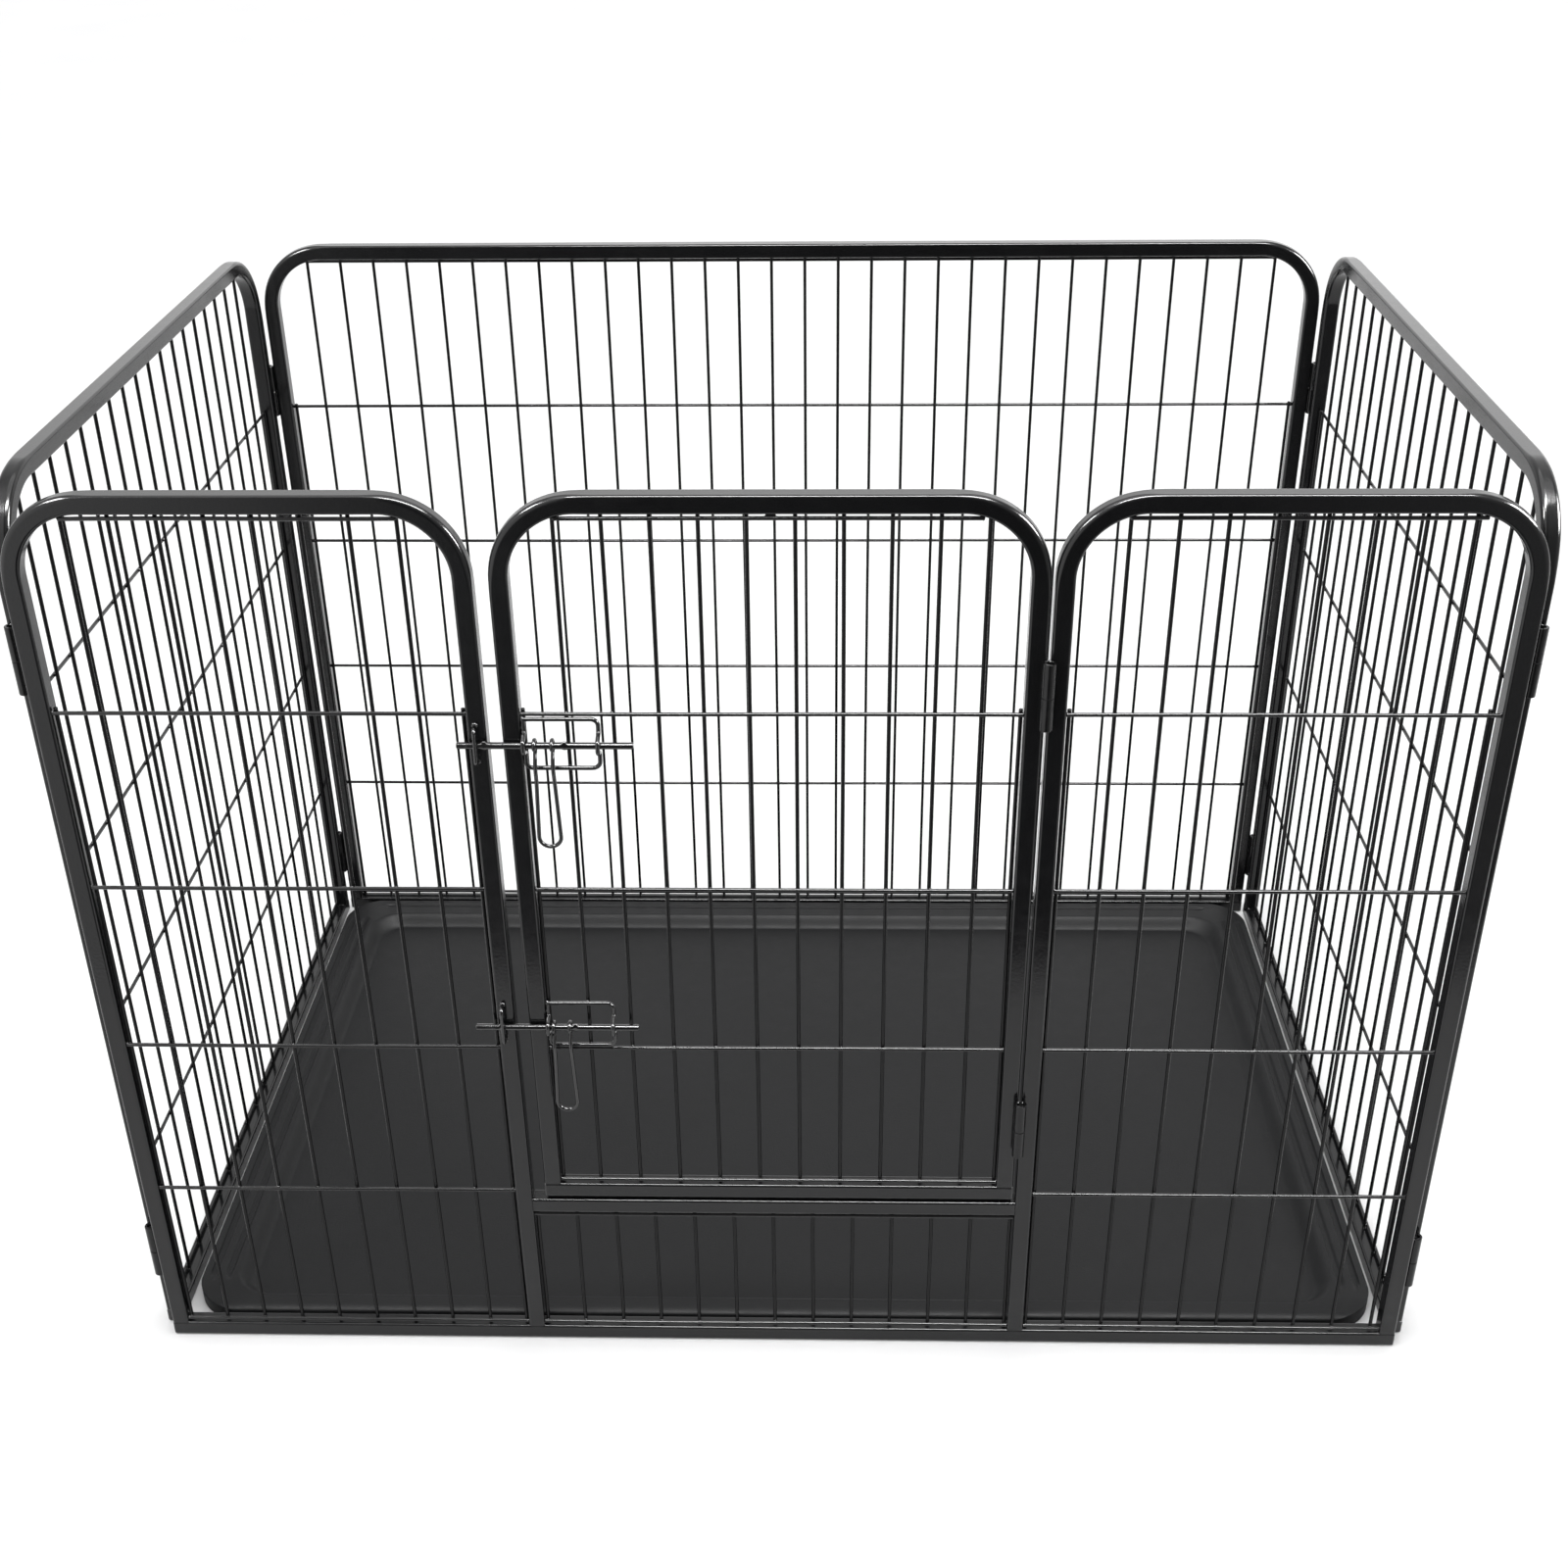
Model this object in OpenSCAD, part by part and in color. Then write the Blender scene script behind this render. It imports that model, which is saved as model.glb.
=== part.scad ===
/* [Overall size] */
// Outside length, measured over the two side panels
pen_length = 1250; // [1240:1:1260]
// Outside depth, front face to back face
pen_depth = 800; // [795:1:810]
// Height of the panels
pen_height = 900; // [890:1:910]

/* [Frame tube] */
// Side of the square frame tube
tube = 16; // [15:0.5:17]
// Wall of the frame tube
wall = 1.0; // [0.8:0.1:1.4]
// Outside radius of the tube's long edges
edge_r = 2.4; // [1.6:0.2:2.8]
// Outside radius of the bends in the top corners
bend_r = 72; // [66:1:76]

/* [Grille wires] */
// Diameter of the grille wires
wire_d = 3.0; // [2.6:0.2:3.2]
// Spacing of the upright wires
pitch = 38.1; // [38:0.05:38.15]
// Spacing of the level wires
level_step = 172; // [170:0.5:173]
// Depth of the level wires behind the panel's outer face
wire_depth = 3.5; // [3.4:0.1:5]

/* [Door] */
// Clear width of the doorway
doorway_w = 463; // [462:0.5:464]
// Sideways offset of the doorway from the middle
doorway_x = -4; // [-5:0.5:-3]
// Gap between the door and its hinge-side upright
hinge_gap = 3; // [2.8:0.1:3.4]
// Gap between the door and its latch-side upright
latch_gap = 13; // [12:0.5:15]
// Height of the door's lower edge
door_z = 187; // [186:0.5:190]
// Height of the sill rail's underside
sill_z = 167; // [166:0.5:168]

/* [Hinges] */
// Outside diameter of a hinge barrel
barrel_d = 11; // [10.6:0.1:11]
// Diameter of a hinge pin
pin_d = 6; // [5.4:0.2:6]
// Radial play of a pin in its socket
play = 0.075; // [0.05:0.005:0.095]

/* [Bolts] */
// Diameter of a bolt rod
rod_d = 6; // [5.6:0.2:6]
// Diameter of the wire in the guides and handles
loop_d = 4; // [3.6:0.2:4]
// Height of the upper bolt
upper_bolt_z = 682; // [680:1:684]
// Height of the lower bolt
lower_bolt_z = 392; // [390:1:394]

/* [Tray] */
// Length of the floor tray
tray_l = 1204; // [1190:2:1208]
// Depth of the floor tray, front to back
tray_w = 758; // [740:2:760]
// Height of the tray's rim
tray_h = 16; // [14:1:20]
// Thickness of the tray's floor
tray_t = 2; // [1.5:0.5:2.5]

/* [Hidden] */
$fn = 40;

hl = pen_length / 2;
hd = pen_depth / 2;
top = pen_height;
cr = bend_r - tube / 2;      // centreline radius of a bend
ir = bend_r - tube;          // inside radius of a bend
zb = top - bend_r;           // height where the bends start
zu = top - tube;             // underside of the top rail
wr = wire_d / 2;
sink = 0.2;                  // depth by which a welded wire sinks in
front_w = pen_length - 24;   // front panel, fits between the barrels
back_w = pen_length - 36;    // back panel
side_w = pen_depth - 36;     // side panels, fit between front and back
cap_t = 1.5;                 // flange of a rail cap
zl = [for (k = [0:5]) 20 + k * level_step];
low = [20];
px = hl - 6.1;               // front corner pivots
py = hd - 12.1;
bx = back_w / 2 + 5.9;       // rear corner pivots
tc = "#1d1e20";
wc = "#242527";
bc = "#2b2c2f";
pc = "#303134";

// ---- shared shapes ------------------------------------------------
// Points of a rectangle with rounded corners, n steps to a corner
function rrect(w, h, r, n) = [for (q = [0:3]) for (k = [0:n])
  let (a = q * 90 + k * 90 / n,
       sx = (q == 0 || q == 3) ? 1 : -1, sy = q < 2 ? 1 : -1)
  [sx * (w / 2 - r) + r * cos(a), sy * (h / 2 - r) + r * sin(a)]];
// Points of a long slot with round ends, along X
function slot_pts(l, w, n) = [for (e = [0:1]) for (k = [0:n])
  let (a = -90 + e * 180 + k * 180 / n)
  [(e == 0 ? 1 : -1) * (l - w) / 2 + w / 2 * cos(a), w / 2 * sin(a)]];

// Cross-section of the square frame tube
module section() {
  difference() {
    polygon(rrect(tube, tube, edge_r, 2));
    polygon(rrect(tube - 2 * wall, tube - 2 * wall, edge_r - wall, 2));
  }
}
// Straight tube along X, centred, front face at y = 0, from z = z0
module rail(l, z0) {
  translate([-l / 2, tube / 2, z0 + tube / 2]) rotate([90, 0, 90])
    linear_extrude(height = l) section();
}
// Inverted U of bent tube, w wide outside, feet at z0, top at pen_height
module bent_frame(w, z0) {
  translate([0, tube / 2, 0]) {
    for (s = [-1, 1]) {
      translate([s * (w - tube) / 2, 0, z0])
        linear_extrude(height = zb - z0) section();
      translate([s * (w / 2 - bend_r), 0, zb]) rotate([90, 0, 0])
        rotate_extrude(angle = 90, start = s > 0 ? 0 : 90, $fn = 64)
          translate([cr, 0]) section();
    }
    translate([-w / 2 + bend_r, 0, top - tube / 2]) rotate([90, 0, 90])
      linear_extrude(height = w - 2 * bend_r) section();
  }
}
// Pair of push-in caps for a rail of length l whose tube is 2 caps shorter
module caps(l, z0) {
  for (s = [-1, 1]) translate([s * l / 2, tube / 2, z0 + tube / 2])
    rotate([90, 0, s > 0 ? -90 : 90]) {
      linear_extrude(height = cap_t)
        polygon(rrect(tube, tube, edge_r, 2));
      linear_extrude(height = 12)
        polygon(rrect(tube - 2 * wall - 0.3, tube - 2 * wall - 0.3, 1.2, 2));
    }
}
// Upright wires at the x positions in xs; wi is the clear width between
// the uprights, and wires under a bend stop where they meet the tube
module uprights(xs, wi, z0, rounded, z1) {
  for (x = xs) let (
    d = wi / 2 - abs(x),
    over = ir - d + wr,
    z = !rounded ? z1 : d < 14 ? zl[4] + 4
      : over > 0 ? min(zu, zb + sqrt(ir * ir - over * over)) : zu)
    translate([x, wire_depth + wire_d - sink, z0])
      cylinder(d = wire_d, h = z - z0, $fn = 16);
}
// Level wires at the heights in zs, cut short where the bends start
module levels(zs, wi) {
  for (z = zs) let (
    up = z + wr - zb,
    cut = up > 0 ? ir - sqrt(ir * ir - up * up) : 0)
    translate([-wi / 2 + cut, wire_depth, z]) rotate([0, 90, 0])
      cylinder(d = wire_d, h = wi - 2 * cut, $fn = 16);
}
// n wires at the pitch about x = c, then one short wire at each end
function row(n, c, wi, dl, dr) = concat([-wi / 2 + dl],
  [for (i = [0:n - 1]) c + (i - (n - 1) / 2) * pitch], [wi / 2 - dr]);

// Lower hinge half: a solid barrel whose bore holds the pin
module knuckle(z0, h) {
  translate([0, 0, z0]) difference() {
    cylinder(d = barrel_d, h = h);
    translate([0, 0, 2]) cylinder(d = pin_d, h = h);
  }
}
// Upper hinge half: an open socket that drops over the pin
module socket(z0, h) {
  translate([0, 0, z0]) difference() {
    cylinder(d = barrel_d, h = h);
    translate([0, 0, -1]) cylinder(d = pin_d + 2 * play, h = h + 2);
  }
}
module pin(z0, h) { translate([0, 0, z0]) cylinder(d = pin_d, h = h); }

// Heights of the corner hinges: [bottom, split, top]
front_hinges = [[73, 104, 135], [722, 753, 784]];
rear_hinges = [[58, 88, 118], [700, 730, 760]];
door_hinges = [[248, 278.5, 309], [699, 729, 760]];

// ---- placing a panel: local outer face y = 0 becomes the outside ----
module on_front() { translate([0, -hd, 0]) children(); }
module on_back() { translate([0, hd, 0]) rotate([0, 0, 180]) children(); }
module on_left() { translate([-hl, 0, 0]) rotate([0, 0, -90]) children(); }
module on_right() { translate([hl, 0, 0]) rotate([0, 0, 90]) children(); }

// ---- back panel -----------------------------------------------------
back_i = back_w - 2 * tube;
module back_frame_tube() color(tc) on_back() bent_frame(back_w, tube);
module back_bottom_rail() color(tc) on_back() rail(back_w - 2 * cap_t, 0);
module back_rail_caps() color(pc) on_back() caps(back_w, 0);
module back_upright_wires() color(wc) on_back()
  uprights(row(30, 0, back_i, 3, 3), back_i, tube, true, 0);
module back_level_wires() color(wc) on_back() levels(zl, back_i);
module back_hinge_knuckles() color(bc)
  for (s = [-1, 1]) for (z = rear_hinges)
    translate([s * bx, py, 0]) {
      knuckle(z[0], z[1] - z[0] - 0.3);
      translate([s > 0 ? -5.9 : 4.3, -1.6, z[0] + 3])
        cube([1.6, 3.2, z[1] - z[0] - 6]);
    }
module back_hinge_pins() color(bc)
  for (s = [-1, 1]) for (z = rear_hinges)
    translate([s * bx, py, 0]) pin(z[0] + 2, z[2] - z[0] - 5);

// ---- side panels ----------------------------------------------------
side_i = side_w - 2 * tube;
module side_frame() bent_frame(side_w, tube);
module side_rail() rail(side_w - 2 * cap_t, 0);
module side_uprights()
  uprights([for (i = [0:19]) (i - 9.5) * pitch], side_i, tube, true, 0);
module side_levels() levels(zl, side_i);
// Sockets of one side panel, s = 1 right, -1 left
module side_sockets(s) {
  for (z = front_hinges) translate([s * px, -py, 0]) {
    socket(z[1], z[2] - z[1]);
    translate([-1.6, 4.3, z[1] + 3]) cube([3.2, 1.6, z[2] - z[1] - 6]);
  }
  for (z = rear_hinges) translate([s * bx, py, 0]) {
    socket(z[1], z[2] - z[1]);
    translate([-0.6, -5.9, z[1] + 3]) cube([3.2, 1.6, z[2] - z[1] - 6]);
  }
}
module left_frame_tube() color(tc) on_left() side_frame();
module left_bottom_rail() color(tc) on_left() side_rail();
module left_rail_caps() color(pc) on_left() caps(side_w, 0);
module left_upright_wires() color(wc) on_left() side_uprights();
module left_level_wires() color(wc) on_left() side_levels();
module left_hinge_sockets() color(bc) side_sockets(-1);
module right_frame_tube() color(tc) on_right() side_frame();
module right_bottom_rail() color(tc) on_right() side_rail();
module right_rail_caps() color(pc) on_right() caps(side_w, 0);
module right_upright_wires() color(wc) on_right() side_uprights();
module right_level_wires() color(wc) on_right() side_levels();
module right_hinge_sockets() color(bc) side_sockets(1);

// ---- front panel ----------------------------------------------------
dl = doorway_x - doorway_w / 2;        // left edge of the doorway
dr = doorway_x + doorway_w / 2;        // right edge of the doorway
sl_w = dl + front_w / 2;               // width of the left section
sr_w = front_w / 2 - dr;               // width of the right section
sl_i = sl_w - 2 * tube;
sr_i = sr_w - 2 * tube;
sl_x = (dl - front_w / 2) / 2;
sr_x = (dr + front_w / 2) / 2;
module front_left_frame_tube() color(tc) on_front()
  translate([sl_x, 0, 0]) bent_frame(sl_w, tube);
module front_right_frame_tube() color(tc) on_front()
  translate([sr_x, 0, 0]) bent_frame(sr_w, tube);
module front_bottom_rail() color(tc) on_front()
  rail(front_w - 2 * cap_t, 0);
module front_rail_caps() color(pc) on_front() caps(front_w, 0);
module door_sill_rail() color(tc) on_front()
  translate([doorway_x, 0, 0]) rail(doorway_w, sill_z);
module front_left_upright_wires() color(wc) on_front()
  translate([sl_x, 0, 0])
    uprights(row(8, 0, sl_i, 2.6, 2.6), sl_i, tube, true, 0);
module front_left_level_wires() color(wc) on_front()
  translate([sl_x, 0, 0]) levels(zl, sl_i);
module front_right_upright_wires() color(wc) on_front()
  translate([sr_x, 0, 0])
    uprights(row(8, -3.5, sr_i, 2.6, 8.5), sr_i, tube, true, 0);
module front_right_level_wires() color(wc) on_front()
  translate([sr_x, 0, 0]) levels(zl, sr_i);
module sill_upright_wires() color(wc) on_front()
  translate([doorway_x, 0, 0])
    uprights([for (i = [0:12]) (i - 6) * pitch], doorway_w, tube, false, sill_z);
module sill_level_wires() color(wc) on_front()
  translate([doorway_x, 0, 0]) levels([20, sill_z - 4], doorway_w);
module front_hinge_knuckles() color(bc)
  for (s = [-1, 1]) for (z = front_hinges)
    translate([s * px, -py, 0]) {
      knuckle(z[0], z[1] - z[0] - 0.3);
      translate([s > 0 ? -5.9 : 4.3, -2, z[0] + 3])
        cube([1.6, 3.2, z[1] - z[0] - 6]);
    }
module front_hinge_pins() color(bc)
  for (s = [-1, 1]) for (z = front_hinges)
    translate([s * px, -py, 0]) pin(z[0] + 2, z[2] - z[0] - 5);

// Door hinge axis, in front of the gap beside the door
hx = dr - hinge_gap / 2;
hy = -hd - 5.9;
module door_hinge_knuckles() color(bc)
  for (z = door_hinges) translate([hx, hy, 0]) {
    knuckle(z[0], z[1] - z[0] - 0.3);
    translate([2, 3, z[0] + 3]) cube([4.4, 2.9, z[1] - z[0] - 6]);
  }
module door_hinge_pins() color(bc)
  for (z = door_hinges) translate([hx, hy, 0])
    pin(z[0] + 2, z[2] - z[0] - 5);

// Staple of bent wire, standing out from y = 0 towards -Y
module staple(x, z0, z1, out, d, r) {
  translate([x, 0, 0]) {
    for (s = [0, 1]) translate([0, 0, s == 0 ? z0 : z1]) {
      rotate([90, 0, 0]) cylinder(d = d, h = out - r);
      translate([0, -(out - r), s == 0 ? r : -r]) rotate([0, -90, 0])
        rotate_extrude(angle = 90, start = s == 0 ? 180 : 270)
          translate([r, 0]) circle(d = d);
    }
    translate([0, -out, z0 + r]) cylinder(d = d, h = z1 - z0 - 2 * r);
  }
}
rod_y = -hd - 3.5;
module upper_bolt_catch() color(bc) on_front()
  staple(dl - 9, upper_bolt_z - 17, upper_bolt_z + 17, 8.5, 3.2, 3.5);
module lower_bolt_catch() color(bc) on_front()
  staple(dl - 10, lower_bolt_z - 17, lower_bolt_z + 22, 8.5, 3.2, 3.5);

// ---- door -----------------------------------------------------------
door_l = dl + latch_gap;
door_r = dr - hinge_gap;
door_w = door_r - door_l;
door_x = (door_l + door_r) / 2;
door_i = door_w - 2 * tube;
module door_frame_tube() color(tc) on_front()
  translate([door_x, 0, 0]) bent_frame(door_w, door_z + tube);
module door_bottom_rail() color(tc) on_front()
  translate([door_x, 0, 0]) rail(door_w - 2 * cap_t, door_z);
module door_rail_caps() color(pc) on_front()
  translate([door_x, 0, 0]) caps(door_w, door_z);
module door_upright_wires() color(wc) on_front()
  translate([door_x, 0, 0])
    uprights(row(10, 2, door_i, 2.2, 2.2), door_i, door_z + tube, true, 0);
module door_level_wires() color(wc) on_front()
  translate([door_x, 0, 0])
    levels(concat([door_z + tube + 4], [for (k = [2:5]) zl[k]]), door_i);
module door_spacer_tab() color(wc) on_front()
  translate([door_x - 2, wire_depth - wr, zl[5] + wr - 0.1])
    cube([8, wire_d, zu - zl[5] - wr + 0.1]);
module door_hinge_sockets() color(bc)
  for (z = door_hinges) translate([hx, hy, 0]) {
    socket(z[1], z[2] - z[1]);
    translate([-6.4, 3.1, z[1] + 3]) cube([4.4, 2.8, z[2] - z[1] - 6]);
  }

// Guide of a bolt: two level wires joined by two bows that stand out
// over the rod
module guide(x0, x1, z0, z1) {
  r = 4.5;
  back = wire_depth + wire_d - sink - wr - loop_d / 2 + 0.3;
  out = 8.8;
  for (s = [0, 1]) let (x = s == 0 ? x0 + loop_d / 2 : x1 - loop_d / 2)
    translate([x, 0, 0]) {
      for (e = [0, 1]) translate([0, 0, e == 0 ? z0 : z1]) {
        translate([0, back, 0]) rotate([90, 0, 0])
          cylinder(d = loop_d, h = out + back - r);
        translate([0, -(out - r), e == 0 ? r : -r]) rotate([0, -90, 0])
          rotate_extrude(angle = 90, start = e == 0 ? 180 : 270)
            translate([r, 0]) circle(d = loop_d);
      }
      translate([0, -out, z0 + r]) cylinder(d = loop_d, h = z1 - z0 - 2 * r);
    }
  for (z = [z0, z1]) translate([x0, back, z]) rotate([0, 90, 0])
    cylinder(d = loop_d - 0.4, h = x1 - x0);
}
guide_u = [door_l + tube, door_l + tube + 66];
guide_l = [door_l + tube, door_l + tube + 63];
module upper_bolt_guide() color(bc) on_front()
  guide(guide_u[0], guide_u[1], upper_bolt_z - 24.5, upper_bolt_z + 21.5);
module lower_bolt_guide() color(bc) on_front()
  guide(guide_l[0], guide_l[1], lower_bolt_z - 24.2, lower_bolt_z + 22.3);

// ---- bolts ----------------------------------------------------------
// Rod with its tip at x0 and two pinched ears that stop its travel
module rod(x0, z) {
  translate([x0, rod_y, z]) {
    rotate([0, 90, 0]) cylinder(d = rod_d, h = 147.5);
    for (x = [23.3, 90.1]) translate([x - 2, -1.1, -4.1])
      cube([4, 2.2, 8.2]);
  }
}
// Hairpin handle with two eyes that turn on the rod
module handle(xc, z, drop) {
  s = 7.35;
  translate([xc, rod_y, z]) {
    for (e = [-1, 1]) translate([e * s, 0, 0]) {
      difference() {
        union() {
          translate([-loop_d / 2, 0, 0]) rotate([0, 90, 0])
            cylinder(r = rod_d / 2 + 3.4, h = loop_d);
          translate([0, 0, -(drop - s)])
            cylinder(d = loop_d - 0.2, h = drop - s);
        }
        translate([-loop_d, 0, 0]) rotate([0, 90, 0])
          cylinder(r = rod_d / 2 + play, h = 2 * loop_d);
      }
    }
    translate([0, 0, -(drop - s)]) rotate([90, 0, 0])
      rotate_extrude(angle = 180, start = 180)
        translate([s, 0]) circle(d = loop_d - 0.2);
  }
}
upper_x = dl - 25.1;
lower_x = dl - 34.5;
module upper_bolt_rod() color(bc) rod(upper_x, upper_bolt_z);
module lower_bolt_rod() color(bc) rod(lower_x, lower_bolt_z);
module upper_bolt_handle() color(bc)
  handle(upper_x + 72.5, upper_bolt_z, 96);
module lower_bolt_handle() color(bc)
  handle(lower_x + 77.7, lower_bolt_z, 92);

// ---- floor tray -----------------------------------------------------
rim_s = 52;   // width of the rim at the sides
rim_f = 30;   // width of the rim at the front
rim_b = 46;   // width of the rim at the back
rim_t = 3;    // thickness of the rim's top
in_l = tray_l - 2 * rim_s;
in_w = tray_w - rim_f - rim_b;
in_y = (rim_f - rim_b) / 2;
module well(grow) translate([0, in_y])
  polygon(rrect(in_l + 2 * grow, in_w + 2 * grow, 34 + grow, 6));
module tray_outline(shrink)
  polygon(rrect(tray_l - 2 * shrink, tray_w - 2 * shrink, 48 - shrink, 6));
module floor_tray() color("#2e2f31") difference() {
  linear_extrude(height = tray_h) tray_outline(0);
  // the well where the animal stands
  translate([0, 0, tray_t]) linear_extrude(height = tray_h) well(0);
  // hollow underside of the rim
  translate([0, 0, -1]) linear_extrude(height = tray_h - rim_t + 1)
    difference() { tray_outline(tray_t); well(tray_t); }
  // pressed grooves along the rim
  for (s = [-1, 1]) for (g = [11, 27])
    translate([s * (tray_l / 2 - g), 0, tray_h - 1.5]) rotate([0, 0, 90])
      linear_extrude(height = 3) polygon(slot_pts(tray_w - 2 * 50, 7, 6));
  translate([0, tray_w / 2 - 12.5, tray_h - 1.5])
    linear_extrude(height = 3) polygon(slot_pts(tray_l - 2 * 52, 7, 6));
  translate([0, -tray_w / 2 + 12.5, tray_h - 1.5])
    linear_extrude(height = 3) polygon(slot_pts(tray_l - 2 * 52, 7, 6));
}

back_frame_tube();
back_bottom_rail();
back_rail_caps();
back_upright_wires();
back_level_wires();
back_hinge_knuckles();
back_hinge_pins();
left_frame_tube();
left_bottom_rail();
left_rail_caps();
left_upright_wires();
left_level_wires();
left_hinge_sockets();
right_frame_tube();
right_bottom_rail();
right_rail_caps();
right_upright_wires();
right_level_wires();
right_hinge_sockets();
front_left_frame_tube();
front_right_frame_tube();
front_bottom_rail();
front_rail_caps();
door_sill_rail();
front_left_upright_wires();
front_left_level_wires();
front_right_upright_wires();
front_right_level_wires();
sill_upright_wires();
sill_level_wires();
front_hinge_knuckles();
front_hinge_pins();
door_hinge_knuckles();
door_hinge_pins();
upper_bolt_catch();
lower_bolt_catch();
door_frame_tube();
door_bottom_rail();
door_rail_caps();
door_upright_wires();
door_level_wires();
door_spacer_tab();
door_hinge_sockets();
upper_bolt_guide();
lower_bolt_guide();
upper_bolt_rod();
lower_bolt_rod();
upper_bolt_handle();
lower_bolt_handle();
floor_tray();
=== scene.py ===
import bpy
import math
import numpy as np
from mathutils import Matrix, Vector


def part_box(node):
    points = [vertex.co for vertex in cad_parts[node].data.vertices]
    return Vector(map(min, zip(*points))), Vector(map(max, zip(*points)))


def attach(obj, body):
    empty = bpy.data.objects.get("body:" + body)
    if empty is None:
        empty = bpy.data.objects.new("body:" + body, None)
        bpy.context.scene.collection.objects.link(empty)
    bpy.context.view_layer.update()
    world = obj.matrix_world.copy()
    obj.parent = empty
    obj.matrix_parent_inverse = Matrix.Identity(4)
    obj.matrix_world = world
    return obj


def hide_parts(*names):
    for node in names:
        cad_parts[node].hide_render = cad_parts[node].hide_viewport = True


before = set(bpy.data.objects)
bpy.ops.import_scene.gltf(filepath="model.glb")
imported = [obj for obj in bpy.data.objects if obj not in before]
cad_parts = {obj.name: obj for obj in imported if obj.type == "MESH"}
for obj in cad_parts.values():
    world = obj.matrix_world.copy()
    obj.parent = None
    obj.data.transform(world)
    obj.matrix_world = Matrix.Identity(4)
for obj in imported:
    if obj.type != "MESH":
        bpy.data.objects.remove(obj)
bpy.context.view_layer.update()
rng = np.random.default_rng(20731)
MM = 0.001

# =====================================================================
# mesh building
# =====================================================================


class Geo:
    """Collects quads and n-gons with their own corner normals."""

    def __init__(self):
        self.v, self.idx, self.nrm, self.size = [], [], [], []
        self.n = 0

    def add(self, verts, faces, normals):
        """verts (V,3); faces (F,k) indices; normals (F,k,3)."""
        verts = np.asarray(verts, float)
        faces = np.asarray(faces, int)
        normals = np.asarray(normals, float)
        p = verts[faces]
        g = np.zeros((len(faces), 3))
        k = faces.shape[1]
        for i in range(k):
            a, b = p[:, i], p[:, (i + 1) % k]
            g += np.cross(a, b)
        flip = np.einsum("ij,ij->i", g, normals.mean(1)) < 0
        faces = faces.copy()
        normals = normals.copy()
        faces[flip] = faces[flip][:, ::-1]
        normals[flip] = normals[flip][:, ::-1]
        self.v.append(verts)
        self.idx.append((faces + self.n).ravel())
        self.nrm.append(normals.reshape(-1, 3))
        self.size.append(np.full(len(faces), k))
        self.n += len(verts)

    def more(self, faces, normals, base, verts):
        """Faces on vertices that were added before, numbered from base."""
        faces = np.asarray(faces, int)
        normals = np.asarray(normals, float)
        p = np.asarray(verts, float)[faces]
        k = faces.shape[1]
        g = np.zeros((len(faces), 3))
        for i in range(k):
            g += np.cross(p[:, i], p[:, (i + 1) % k])
        flip = np.einsum("ij,ij->i", g, normals.mean(1)) < 0
        faces = faces.copy()
        normals = normals.copy()
        faces[flip] = faces[flip][:, ::-1]
        normals[flip] = normals[flip][:, ::-1]
        self.idx.append((faces + base).ravel())
        self.nrm.append(normals.reshape(-1, 3))
        self.size.append(np.full(len(faces), k))

    def build(self, name, material, body, slot, replaces=()):
        v = np.concatenate(self.v)
        idx = np.concatenate(self.idx)
        nrm = np.concatenate(self.nrm)
        size = np.concatenate(self.size)
        # one vertex per place, so that every solid is closed
        _, first, inv = np.unique(np.round(v * 2e7).astype(np.int64), axis=0, return_index=True, return_inverse=True)
        v, idx = v[first], inv.ravel()[idx]
        start = np.concatenate([[0], np.cumsum(size)[:-1]])
        me = bpy.data.meshes.new(name)
        me.vertices.add(len(v))
        me.vertices.foreach_set("co", v.astype(np.float32).ravel())
        me.loops.add(len(idx))
        me.loops.foreach_set("vertex_index", idx.astype(np.int32))
        me.polygons.add(len(size))
        me.polygons.foreach_set("loop_start", start.astype(np.int32))
        me.polygons.foreach_set("use_smooth", np.ones(len(size), bool))
        me.update(calc_edges=True)
        ln = np.linalg.norm(nrm, axis=1, keepdims=True)
        nrm = nrm / np.maximum(ln, 1e-9)
        me.normals_split_custom_set([tuple(x) for x in nrm.tolist()])
        me.materials.append(material)
        ob = bpy.data.objects.new(name, me)
        bpy.context.scene.collection.objects.link(ob)
        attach(ob, body)
        if replaces:
            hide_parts(*replaces)
        return ob


def grid_faces(K, M, closed_m=True, closed_k=False):
    ks = np.arange(K if closed_k else K - 1)
    ms = np.arange(M if closed_m else M - 1)
    k, m = np.meshgrid(ks, ms, indexing="ij")
    k1, m1 = (k + 1) % K, (m + 1) % M
    return np.stack([k * M + m, k1 * M + m, k1 * M + m1, k * M + m1], -1).reshape(-1, 4)


def sweep(geo, P, A, B, U, W, NU, NW, NT=None, closed=False, cap=True):
    """A section given by U, W (K,M) in the axes A, B (K,3), along P (K,3)."""
    K, M = U.shape
    V = P[:, None] + A[:, None] * U[..., None] + B[:, None] * W[..., None]
    N = A[:, None] * NU[..., None] + B[:, None] * NW[..., None]
    T = np.gradient(P, axis=0) if not closed else (np.roll(P, -1, 0) - np.roll(P, 1, 0))
    T = T / np.maximum(np.linalg.norm(T, axis=1, keepdims=True), 1e-12)
    if NT is not None:
        N = N + T[:, None] * NT[..., None]
    V = V.reshape(-1, 3)
    N = N.reshape(-1, 3)
    F = grid_faces(K, M, True, closed)
    base = geo.n
    geo.add(V, F, N[F])
    if cap and not closed:
        for k, s in ((0, -1), (K - 1, 1)):
            f = np.arange(M)[None] + k * M
            t = np.cross(A[k], B[k])
            t = t / np.linalg.norm(t)
            inward = P[1] - P[0] if k == 0 else P[-2] - P[-1]
            if np.dot(t, inward) > 0:
                t = -t
            geo.more(f, np.broadcast_to(t, (1, M, 3)), base, V)
    return V


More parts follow.
